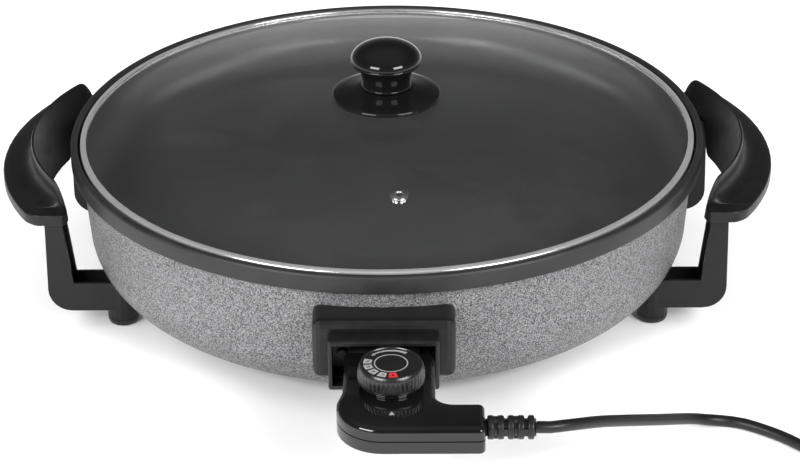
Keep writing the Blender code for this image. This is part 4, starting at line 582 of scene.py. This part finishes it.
def glassHeight(v, r):
    return v["edgeTop"] + v["rise"] - domeRadius(v) + sqrt(domeRadius(v) ** 2 - r ** 2)

def ventPlace(v):
    angle, away = radians(v["ventAngle"]), v["ventAway"]
    turn = Matrix.Rotation(angle, 4, "Z") @ Matrix.Rotation(asin(away / domeRadius(v)), 4, "Y")
    place = (away * cos(angle), away * sin(angle), glassHeight(v, away) - v["wall"] / 2)
    return Matrix.Translation(place) @ turn

def makeLid(v):
    edge = v["edge"]
    last = v["radius"] - edge
    radii = [v["hole"] + (last - v["hole"]) * k / v["rings"] for k in range(v["rings"] + 1)]
    profile = [(r, glassHeight(v, r)) for r in radii]
    profile += arcPoints((last, glassHeight(v, last) - edge), edge, 80, 0, 3)
    profile += arcPoints((last, glassHeight(v, last) - v["wall"] + edge), edge, 0, -80, 3)
    profile += [(r, glassHeight(v, r) - v["wall"]) for r in reversed(radii)]
    glass = spinProfile("lid_glass_dome", profile, v["steps"], closed=True)
    hole = rodPiece("vent_hole", v["ventShank"] + gap, (0, 0, -0.01), (0, 0, 0.01))
    hole.data.transform(ventPlace(v))
    carve(glass, hole)
    placePiece(glass, "lid", finishes["glass"], ["lid_glass"])

    lip, wall, top = v["bandRadius"] - v["bandLip"], v["bandWall"], v["edgeTop"] + gap * 2
    rise = glassHeight(v, lip) - glassHeight(v, v["radius"])
    inner = v["radius"] + gap
    profile = [(lip, top + rise)]
    profile += arcPoints((lip + wall / 2, top + rise + wall / 2), wall / 2, 180, 90, 3)
    profile += arcPoints((v["bandRadius"] - wall * 1.5, top - wall * 0.5), wall * 1.5, 80, 0, 6)
    profile += arcPoints((v["bandRadius"] - wall, v["bandLow"] + wall), wall, 0, -90, 4)
    profile += [(lip, v["bandLow"]), (lip, v["bandLow"] + wall), (inner, v["bandLow"] + wall),
                (inner, top - gap)]
    band = spinProfile("lid_band_rolled", profile, v["steps"], closed=True)
    placePiece(band, "lid", finishes["bandSteel"], ["lid_band"])

    half, lipHeight = v["wall"] / 2 + gap, v["ventLip"]
    bore, shank, flange = v["ventBore"], v["ventShank"], v["ventFlange"]
    profile = [(bore, half + lipHeight * 0.5)]
    profile += arcPoints((bore + 0.0009, half + lipHeight * 0.45), 0.0009, 150, 90, 3)
    profile += arcPoints((flange - 0.0011, half), 0.0011, 90, 0, 5)
    profile += [(shank, half), (shank, -half), (flange - 0.0008, -half),
                (flange - 0.0008, -half - lipHeight * 0.4), (bore, -half - lipHeight / 2)]
    eyelet = spinProfile("vent_ring", profile, 48, closed=True)
    eyelet.data.transform(ventPlace(v))
    placePiece(eyelet, "lid", finishes["steel"], ["vent_eyelet"])

knobValues = {"apex": 0.1289, "baseRadius": 0.0356, "baseEdge": 0.003, "baseRise": 0.004,
              "baseSag": 0.0006, "foot": 0.0152, "bead": 0.0011, "middle": 0.0159, "middleShare": 0.22,
              "flare": 0.0186, "flareShare": 0.44, "radius": 0.0234, "height": 0.0312, "seam": 0.6,
              "crease": 0.0005, "screw": 0.0028, "steps": 96}

def makeKnob(v):
    low = v["apex"] + gap
    edge = low - v["baseSag"]
    side, lift = v["baseEdge"], v["baseRise"]
    profile = [(v["foot"] - 0.001, edge + side + lift)]
    for k in range(1, 8):  # a shallow hollow cone
        t = k / 8
        r = v["foot"] + (v["baseRadius"] - side - v["foot"]) * t
        profile.append((r, edge + side * 1.15 + lift * (1 - t) ** 1.25))
    profile += arcPoints((v["baseRadius"] - side / 2, edge + side / 2), side / 2, 75, -75, 8)
    profile += [(v["baseRadius"] - side, edge), (v["screw"], low), (v["screw"], edge + side + lift)]
    base = spinProfile("knob_skirt", profile, v["steps"], closed=True)
    placePiece(base, "lid", finishes["knobBlack"], ["knob_base"], angle=50)

    low = v["apex"] + gap * 2 - v["baseSag"] + side + lift
    seam = low + v["height"] * v["seam"]
    dome = v["height"] * (1 - v["seam"])
    profile = [(0, low + v["height"])]
    for k in range(15, 0, -1):
        angle = pi / 2 * k / 16
        profile.append((v["radius"] * cos(angle), seam + dome * sin(angle)))
    crease = v["radius"] - v["crease"]
    profile += [(v["radius"], seam + 0.0004), (crease, seam + 0.0001), (crease, seam - 0.0003)]
    profile += arcPoints((v["radius"] - 0.0013, seam - 0.0013), 0.0012, 60, -50, 4)
    flareZ, middleZ = low + v["height"] * v["flareShare"], low + v["height"] * v["middleShare"]
    profile += [(v["flare"] + 0.0012, flareZ + 0.0017), (v["flare"], flareZ),
                (v["middle"] + 0.001, (flareZ + middleZ) / 2), (v["middle"], middleZ),
                (v["foot"] + 0.0002, low + v["bead"] * 2)]
    profile += arcPoints((v["foot"], low + v["bead"]), v["bead"], 70, -90, 6)  # the bead round the foot
    profile += [(0, low)]
    knob = spinProfile("knob_cap", profile, v["steps"])
    placePiece(knob, "lid", finishes["knobBlack"], ["knob"], angle=50)

makePan(panValues)
makeCasing(casingValues)
makeLid(lidValues)
makeKnob(knobValues)
print("pan, casing and lid turned")

# grips and arms

gripValues = {
    "outerRadius": 0.165, "outerReach": 0.2534, "guardRadius": 0.135, "guardReach": 0.2332,
    "guardTop": 0.1055, "guardBottom": 0.06, "guardWall": 0.0032, "crestWall": 0.002, "lean": 0.005,
    "under": 0.081, "top": 0.0885, "crown": 0.0012, "edge": 0.003, "rim": 0.0011, "fillet": 0.0095,
    "half": 0.092, "guardHalf": 0.08, "guardEnd": 0.0075, "deepHalf": 0.046, "lowHalf": 0.0592,
    "innerEnd": 0.203, "pocketDepth": 0.0042, "pocketHalf": 0.054, "pocketSteps": 16,
}

def reachAt(reach, radius, y):
    return reach - radius + sqrt(radius ** 2 - y ** 2)

def roundFall(over, size):
    return size * (1 - sqrt(max(1 - min(max(over / size, 0.0), 1.0) ** 2, 0.0)))

def gripSection(v, y):
    # outer edge, plate top, hollow up into the guard, crest, inner face and underside
    side, rim = abs(y), v["rim"]
    inset = roundFall(side - v["half"] + v["guardEnd"], v["guardEnd"])
    fall = roundFall(side - v["half"] + rim, rim)
    share = 1 - roundFall(side - v["guardHalf"] + v["guardEnd"], v["guardEnd"]) / v["guardEnd"]
    low = 1 - min(max((side - v["deepHalf"]) / (v["lowHalf"] - v["deepHalf"]), 0.0), 1.0)
    low = low * low * (3 - 2 * low)
    plate, under = v["top"] - fall, v["under"] + fall
    out = reachAt(v["outerReach"], v["outerRadius"], side) - inset - fall
    crest = max(reachAt(v["guardReach"], v["guardRadius"], side), v["innerEnd"] + v["guardWall"])
    crest += inset / 2 + fall / 2
    top = plate + (v["guardTop"] - v["top"]) * share
    bottom = under + (v["guardBottom"] - v["under"]) * low
    half, crestHalf = v["guardWall"] / 2, v["crestWall"] / 2
    thin = crestHalf + (half - crestHalf) * (1 - share)

    def middle(z):
        return crest - v["lean"] * (v["guardTop"] - z) / (v["guardTop"] - v["guardBottom"])

    crown = plate + v["crown"] * share
    root = middle(plate) + half
    fillet = min(v["fillet"], out - rim - root - 0.001)
    rise = min(fillet, (top - crown) * 0.6)
    section = [(out - rim, under), (out - rim * 0.3, under + rim * 0.3), (out, under + rim),
               (out, plate - rim), (out - rim * 0.3, plate - rim * 0.3), (out - rim, plate)]
    for t in (0.35, 0.7):
        section.append((out - rim + (root + fillet - out + rim) * t, plate + (crown - plate) * t))
    for k in range(7):
        angle = pi / 2 * k / 6
        lift = rise * (1 - cos(angle))
        lean = middle(plate + lift) - middle(plate)
        section.append((root + fillet * (1 - sin(angle)) + lean, crown + lift))
    tip = middle(top)
    section += [(tip + thin, top - 0.0008 * share), (tip + thin * 0.7, top - 0.0002 * share), (tip, top),
                (tip - thin * 0.7, top - 0.0002), (tip - thin, top - 0.0008)]
    for z in (plate - 0.001, (plate + under) / 2, under + 0.001):
        section.append((middle(z) - half, z))
    section += [(middle(bottom) - half, bottom + 0.0006), (middle(bottom) - half + 0.0006, bottom),
                (middle(bottom) + half - 0.0006, bottom), (middle(bottom) + half, bottom + 0.0006 * low),
                (middle(under) + half + 0.0003, under)]
    return section

def gripStations(v):
    guardStart, endStart = v["guardHalf"] - v["guardEnd"], v["half"] - v["guardEnd"]
    half = [v["deepHalf"] * k / 4 for k in range(5)]
    half += [v["deepHalf"] + (v["lowHalf"] - v["deepHalf"]) * k / 6 for k in range(1, 7)]
    half += [v["lowHalf"] + (guardStart - v["lowHalf"]) * 0.5]
    half += [guardStart + v["guardEnd"] * sin(pi / 2 * k / 9) for k in range(10)]
    half += [endStart + v["guardEnd"] * sin(pi / 2 * k / 6) for k in range(6)]
    half += [v["half"] - v["rim"] * (1 - sin(pi / 2 * k / 4)) for k in range(5)]
    half = sorted(set(round(y, 6) for y in half))
    return [-y for y in reversed(half[1:])] + half

def makeGrip(v, side, word):
    bm = bmesh.new()
    joinRings(bm, [[bm.verts.new((x, y, z)) for x, z in gripSection(v, y)] for y in gripStations(v)])
    grip = linkMesh("grip_moulding_" + word, bm)
    lean = v["lean"] / (v["guardTop"] - v["guardBottom"])
    inner = v["guardWall"] / 2 - lean * (v["guardTop"] - v["top"]) + v["edge"]
    ys = [v["pocketHalf"] * (2 * k / v["pocketSteps"] - 1) for k in range(v["pocketSteps"] + 1)]
    outline = [(reachAt(v["outerReach"], v["outerRadius"], y) - v["edge"], y) for y in ys]
    outline += [(reachAt(v["guardReach"], v["guardRadius"], y) + inner, y) for y in reversed(ys)]
    carve(grip, loftOutlines("grip_pocket", [(outline, v["under"] - past),
                                             (outline, v["under"] + v["pocketDepth"])]))
    if side < 0:
        grip.data.transform(Matrix.Rotation(pi, 4, "Z"))
    placePiece(grip, "base", finishes["bakelite"], ["grip_" + word], angle=45)

for side, word in ((-1, "left"), (1, "right")):
    makeGrip(gripValues, side, word)
edgeValues = {"handle_arm": 0.0007, "terminal_box": 0.0006, "socket_cup": 0.0004}
for node, solid in frame["nodes"].items():
    for start, width in edgeValues.items():
        if node.startswith(start):
            softenEdges(solid, width)
print("grips and arms made")

# thermostat

dialValues = {"x": 0.0048, "y": -0.2622, "radius": 0.0195, "tooth": 0.0007, "teeth": 44, "toothSteps": 6,
              "top": 0.0812, "height": 0.0112, "skirt": 0.0016, "chamfer": 0.0014, "dish": 0.0006,
              "face": 0.0168, "bore": 0.0033, "boreDepth": 0.007, "collar": 0.0166, "collarStep": 0.0014,
              "shellTop": 0.0662}
probeValues = {
    "corners": ((-0.0234, -0.2235, 0.0025), (-0.0234, -0.267, 0.01), (-0.0264, -0.279, 0.005),
                (-0.0264, -0.3105, 0.027), (0.058, -0.3105, 0.0035), (0.058, -0.2815, 0.0035),
                (0.0302, -0.2815, 0.0105), (0.0302, -0.2235, 0.0025)),
    "bottom": 0.0492, "top": dialValues["shellTop"], "parting": 0.0578, "wall": 0.0022, "topEdge": 0.0038,
    "bottomEdge": 0.0016, "groove": 0.00025, "nose": (0.043, 0.01), "noseTip": 0.214,
    "noseTail": 0.241, "pinHeight": 0.058, "relief": (-0.2943, 0.0572, 0.0043),
    "reliefEnds": (0.05, 0.062),
}

def shellOutlines(v, low, high, edge, upward):
    # a fine groove at the parting line, straight walls and a rounded outer edge
    steps = 6
    start, end, sign = (low, high, 1) if upward else (high, low, -1)
    levels = [(v["groove"], start), (0.0, start + sign * v["groove"])]
    for k in range(steps + 1):
        angle = pi / 2 * k / steps
        levels.append((edge * (1 - cos(angle)), end - sign * edge * (1 - sin(angle))))
    if not upward:
        levels.reverse()
    return [(roundedOutline(v["corners"], inset, 10), z) for inset, z in levels]

def makeShell(v, name, node, upward):
    low, high, edge = v["bottom"], v["parting"] - gap / 2, v["bottomEdge"]
    spans = (low + v["wall"], high + past)
    if upward:
        low, high, edge = v["parting"] + gap / 2, v["top"], v["topEdge"]
        spans = (low - past, high - v["wall"])
    shell = loftOutlines(name, shellOutlines(v, low, high, edge, upward))
    inside = roundedOutline(v["corners"], v["wall"], 4)
    carve(shell, loftOutlines("hollow", [(inside, z) for z in spans]))
    width, height = [size / 2 + gap for size in v["nose"]]
    carve(shell, boxPiece("window", (-width, -v["noseTail"], v["pinHeight"] - height),
                          (width, -v["noseTip"], v["pinHeight"] + height)))
    y, z, radius = v["relief"]
    near, far = v["reliefEnds"]
    carve(shell, rodPiece("relief_hole", radius + gap, (near, y, z), (far, y, z), 24))
    if upward:
        x, y = dialValues["x"], dialValues["y"]
        carve(shell, rodPiece("shaft_hole", dialValues["bore"], (x, y, low), (x, y, 0.08), 24))
    placePiece(shell, "probe", finishes["gloss_black"], [node], angle=38)

makeShell(probeValues, "probe_cover", "probe_upper_shell", True)
makeShell(probeValues, "probe_tray", "probe_lower_shell", False)

def makeDial(v):
    low, top, tooth = v["top"] - v["height"], v["top"], v["tooth"]
    root, soft = v["radius"] - tooth, v["radius"] - tooth * 0.4
    # height, share of the teeth, radius
    profile = [(low, 0, root - 0.0003), (low + 0.0003, 0, soft), (low + v["skirt"] - 0.0003, 0, soft),
               (low + v["skirt"], 0, root), (low + v["skirt"] + 0.0003, 1, v["radius"]),
               (top - 0.0058, 1, v["radius"] - 0.0001), (top - 0.004, 0.35, soft),
               (top - 0.0026, 0, v["radius"] - tooth * 0.8), (top - 0.0004, 0, root - v["chamfer"] * 0.6),
               (top, 0, root - v["chamfer"]), (top, 0, v["face"] + 0.0002),
               (top - v["dish"], 0, v["face"] - 0.0002), (top - v["dish"], 0, 0.001)]
    count = v["teeth"] * v["toothSteps"]
    outlines = []
    for z, toothed, radius in profile:
        points = []
        for k in range(count):
            angle = tau * k / count
            wave = 0.5 - 0.5 * cos(tau * k / v["toothSteps"])
            r = radius - tooth * 0.8 * toothed * wave ** 3
            points.append((r * cos(angle), r * sin(angle)))
        outlines.append((points, z))
    dial = loftOutlines("dial_grip", outlines)
    carve(dial, rodPiece("dial_bore", v["bore"], (0, 0, low - past), (0, 0, low + v["boreDepth"]), 24))
    placePiece(dial, "dial", finishes["dialBlack"], ["dial"], (v["x"], v["y"], 0), 40)
    low, high = v["shellTop"] + gap, v["top"] - v["height"] - gap
    middle, step, radius = (low + high) / 2, v["collarStep"], v["collar"]
    profile = [(radius - step, high), (radius - step, middle + 0.0003), (radius - step + 0.0003, middle)]
    profile += arcPoints((radius - 0.0004, middle - 0.0004), 0.0004, 90, 0, 3)
    profile += [(radius, low), (v["bore"], low), (v["bore"], high)]
    collar = spinProfile("dial_foot", profile, 96, closed=True)
    placePiece(collar, "probe", finishes["gloss_black"], ["dial_collar"],
               (v["x"], v["y"], 0))

makeDial(dialValues)

printValues = {
    "face": 0.0806, "lift": 0.00006, "sink": 0.0003, "redBox": (275.2, 0),
    "boxes": ((171.2, 4), (197.2, 3), (223.2, 2), (249.2, 1)), "boxAway": 0.0136, "boxDepth": 0.0048,
    "boxTurn": 9.9, "redDepth": 0.0056, "figure": 0.000825, "stroke": 0.0004, "ring": 0.0095,
    "ringWidth": 0.0007, "arcAway": 0.0141, "arcStart": 52.0, "arcEnd": 134.0, "arcWide": 0.0019,
    "arcThin": 0.0009, "pointer": (0.0053, -0.2935),
}

def sectorPoints(radius, width, start, end, steps, endWidth=None):
    # a flat band round the axis, from its start width to its end width
    angles = [(k / steps, radians(start + (end - start) * k / steps)) for k in range(steps + 1)]
    widths = [width + ((endWidth or width) - width) * t for t, a in angles]
    outer = [(a, radius + w / 2) for (t, a), w in zip(angles, widths)]
    inner = [(a, radius - w / 2) for (t, a), w in zip(angles, widths)]
    return [(r * cos(a), r * sin(a)) for a, r in outer + inner[::-1]]

def figureStrokes(number):
    # a plain seven-stroke figure on a cell one wide and two tall
    ends = {"top": ((0, 2), (1, 2)), "upperRight": ((1, 2), (1, 1)), "lowerRight": ((1, 1), (1, 0)),
            "bottom": ((0, 0), (1, 0)), "lowerLeft": ((0, 1), (0, 0)), "upperLeft": ((0, 2), (0, 1)),
            "middle": ((0, 1), (1, 1))}
    used = {0: ("top", "upperRight", "lowerRight", "bottom", "lowerLeft", "upperLeft"),
            1: ("upperRight", "lowerRight"), 2: ("top", "upperRight", "middle", "lowerLeft", "bottom"),
            3: ("top", "upperRight", "middle", "lowerRight", "bottom"),
            4: ("upperLeft", "middle", "upperRight", "lowerRight")}
    return [ends[name] for name in used[number]]

def makePrints(v):
    low, high = v["face"] - v["sink"], v["face"] + v["lift"]
    place = (dialValues["x"], dialValues["y"], 0)

    def stamp(name, outlines, finish, body="dial", move=place, top=high):
        base = low if move is place else top - v["sink"]
        bm = bmesh.new()
        for points in outlines:
            joinRings(bm, [[bm.verts.new((p[0], p[1], z)) for p in points] for z in (base, top)])
        placePiece(linkMesh(name, bm), body, finishes[finish], (), move, 30)

    def figure(angle, number):
        turn = Matrix.Rotation(radians(angle + 90), 2)
        size, half = v["figure"], v["stroke"] / 2
        centre = Vector((cos(radians(angle)), sin(radians(angle)))) * v["boxAway"]
        outlines = []
        for start, end in figureStrokes(number):
            a = Vector((start[0] - 0.5, start[1] - 1)) * size
            b = Vector((end[0] - 0.5, end[1] - 1)) * size
            along = (b - a).normalized() * half
            across = Vector((-along.y, along.x))
            corners = [a - along - across, b + along - across, b + along + across, a - along + across]
            outlines.append([turn @ c + centre for c in corners])
        return outlines

    def box(angle, depth):
        return sectorPoints(v["boxAway"], depth, angle - v["boxTurn"], angle + v["boxTurn"], 6)

    stamp("dial_boxes", [box(angle, v["boxDepth"]) for angle, number in v["boxes"]], "greyPrint")
    redAngle, redNumber = v["redBox"]
    stamp("dial_red_box", [box(redAngle, v["redDepth"])], "redPrint")
    figures = [stroke for a, n in v["boxes"] for stroke in figure(a, n)]
    stamp("dial_figures", figures + figure(redAngle, redNumber), "darkPrint", top=high + v["lift"])
    ring = [sectorPoints(v["ring"], v["ringWidth"], 90 * k, 90 * k + 90, 18) for k in range(4)]
    stamp("dial_ring", ring, "greyPrint")
    arc = sectorPoints(v["arcAway"], v["arcWide"], v["arcStart"], v["arcEnd"], 20, v["arcThin"])
    tip, foot = radians(v["arcEnd"] + 10), radians(v["arcEnd"] - 0.5)
    spread = v["arcThin"] * 1.3
    head = [(r * cos(a), r * sin(a)) for r, a in
            ((v["arcAway"], tip), (v["arcAway"] - spread, foot), (v["arcAway"] + spread, foot))]
    stamp("dial_arrow", [arc, head], "greyPrint")
    pointer = [(-0.0016, -0.0017), (0.0016, -0.0017), (0, 0.0022)]
    stamp("pointer_mark", [pointer], "greyPrint", "probe", (*v["pointer"], 0),
          dialValues["shellTop"] + v["lift"])

makePrints(printValues)

reliefValues = {"start": 0.0583, "tip": 0.0868, "y": -0.2943, "z": 0.0572, "rib": 0.0069, "core": 0.0053,
                "ribs": 5, "share": 0.66, "edge": 0.0011, "neck": 0.0043, "flange": 0.0054,
                "inside": 0.0539, "wallInside": 0.0555, "web": (0.003, 0.0022)}

def makeRelief(v):
    pitch = (v["tip"] - v["start"]) / v["ribs"]
    rib, edge = pitch * v["share"], v["edge"]
    profile = [(0, v["inside"]), (v["flange"], v["inside"]), (v["flange"], v["wallInside"]),
               (v["neck"], v["wallInside"]), (v["neck"], v["start"]), (v["core"], v["start"])]
    for k in range(v["ribs"]):
        low = v["start"] + pitch * k + (pitch - rib) / 2
        profile += [(v["core"] - 0.0006, low)]
        profile += arcPoints((v["rib"] - edge, low + edge), edge, -80, 0, 4)
        profile += arcPoints((v["rib"] - edge, low + rib - edge), edge, 0, 80, 4)
        profile += [(v["core"] - 0.0006, low + rib)]
    profile += [(v["core"], v["tip"] - 0.0004), (v["core"] - 0.0004, v["tip"]), (0, v["tip"])]
    relief = spinProfile("strain_sleeve", profile, 40)
    for k in range(v["ribs"] - 1):  # webs between the ribs, turned by a quarter from slot to slot
        middle = v["start"] + pitch * (k + 1)
        for side in (-1, 1):
            near, far = sorted((side * v["web"][0], side * (v["rib"] - 0.0007)))
            low, high = (near, -v["web"][1]), (far, v["web"][1])
            if k % 2:
                low, high = low[::-1], high[::-1]
            carve(relief, boxPiece("web", (*low, middle - rib / 2), (*high, middle + rib / 2)), "UNION")
    turn = Matrix.Translation((0, v["y"], v["z"])) @ Matrix.Rotation(pi / 2, 4, "Y")
    relief.data.transform(turn)
    placePiece(relief, "probe", finishes["rubber"], ["strain_relief"], angle=50)

makeRelief(reliefValues)
print("thermostat made")

# floor, world and lamps

# glow is the light that the floor adds where it is seen, by its distance from the middle
floorValues = {"colour": 0.92, "roughness": 0.9, "size": 6.0,
               "glow": [(0.18, 0.02), (0.3, 0.14), (0.45, 0.3), (0.75, 0.4)]}

def makeFloor(v):
    material, tree, shader = startMaterial("paleFloor")
    shader.inputs["Base Color"].default_value = (v["colour"], v["colour"], v["colour"], 1)
    shader.inputs["Roughness"].default_value = v["roughness"]
    shader.inputs["Specular IOR Level"].default_value = 0.0
    shader.inputs["Emission Color"].default_value = (1, 1, 1, 1)
    path = tree.nodes.new("ShaderNodeLightPath").outputs
    seen = mathNode(tree, "MAXIMUM", path["Is Camera Ray"], path["Is Glossy Ray"])
    seen = mathNode(tree, "MAXIMUM", seen, path["Is Transmission Ray"])
    place = tree.nodes.new("ShaderNodeTexCoord").outputs["Object"]
    away = addNode(tree, "ShaderNodeVectorMath", {0: place}, operation="LENGTH").outputs["Value"]
    lit = rampNode(tree, away, v["glow"], "EASE")
    tree.links.new(mathNode(tree, "MULTIPLY", seen, lit), shader.inputs["Emission Strength"])
    bm = bmesh.new()
    bmesh.ops.create_grid(bm, x_segments=1, y_segments=1, size=v["size"])
    floor = linkMesh("floor", bm)
    floor.data.materials.append(material)

# sky is what polished pieces mirror, by height, and soft is the even light that the world casts
worldValues = {"soft": 0.42, "sky": [(0.0, 0.42), (0.08, 0.36), (0.18, 0.24), (0.32, 0.1),
                                     (0.55, 0.05), (1.0, 0.26)]}

def makeWorld(v):
    world = bpy.data.worlds.new("studio")
    scene.world = world
    world.use_nodes = True
    tree = world.node_tree
    background = tree.nodes["Background"]
    path = tree.nodes.new("ShaderNodeLightPath").outputs
    direction = tree.nodes.new("ShaderNodeTexCoord").outputs["Generated"]
    height = addNode(tree, "ShaderNodeSeparateXYZ", {0: direction}).outputs["Z"]
    sky = rampNode(tree, height, v["sky"], "EASE")
    undiffused = mathNode(tree, "LESS_THAN", path["Diffuse Depth"], 0.5)
    mirrored = mathNode(tree, "GREATER_THAN", path["Glossy Depth"], 0.5)
    mirrored = mathNode(tree, "MULTIPLY", undiffused, mirrored)
    direct = mathNode(tree, "MAXIMUM", path["Is Camera Ray"], path["Is Transmission Ray"])
    seen = mathNode(tree, "MULTIPLY", mathNode(tree, "SUBTRACT", undiffused, mirrored), direct)
    other = mathNode(tree, "SUBTRACT", 1.0, mathNode(tree, "ADD", seen, mirrored))
    soft = mathNode(tree, "MULTIPLY", other, v["soft"])
    total = mathNode(tree, "ADD", seen, mathNode(tree, "MULTIPLY", mirrored, sky))
    tree.links.new(mathNode(tree, "ADD", total, soft), background.inputs["Strength"])
    background.inputs["Color"].default_value = (1, 1, 1, 1)

lampValues = {
    "leftBox": {"place": (-0.95, -1.2, 0.88), "size": (0.85, 0.5), "power": 24.0, "mirrored": True},
    "rightBox": {"place": (1.00, -1.12, 0.88), "size": (0.85, 0.5), "power": 24.0, "mirrored": True},
    "leftPanel": {"place": (-1.5, 0.1, 1.35), "size": (1.4, 0.9), "power": 16.0, "mirrored": False},
    "rightPanel": {"place": (1.5, 0.1, 1.35), "size": (1.4, 0.9), "power": 16.0, "mirrored": False},
}
lampAim = Vector((0, 0, 0.06))

def makeLamps(values):
    for name, v in values.items():
        data = bpy.data.lights.new(name, "AREA")
        data.shape = "RECTANGLE"
        data.size, data.size_y = v["size"]
        data.energy = v["power"]
        lamp = bpy.data.objects.new(name, data)
        scene.collection.objects.link(lamp)
        lamp.visible_glossy = v["mirrored"]
        place = Vector(v["place"])
        lamp.location = place
        lamp.rotation_euler = (lampAim - place).to_track_quat("-Z", "Y").to_euler()

makeFloor(floorValues)
makeWorld(worldValues)
makeLamps(lampValues)
print("floor and light set")
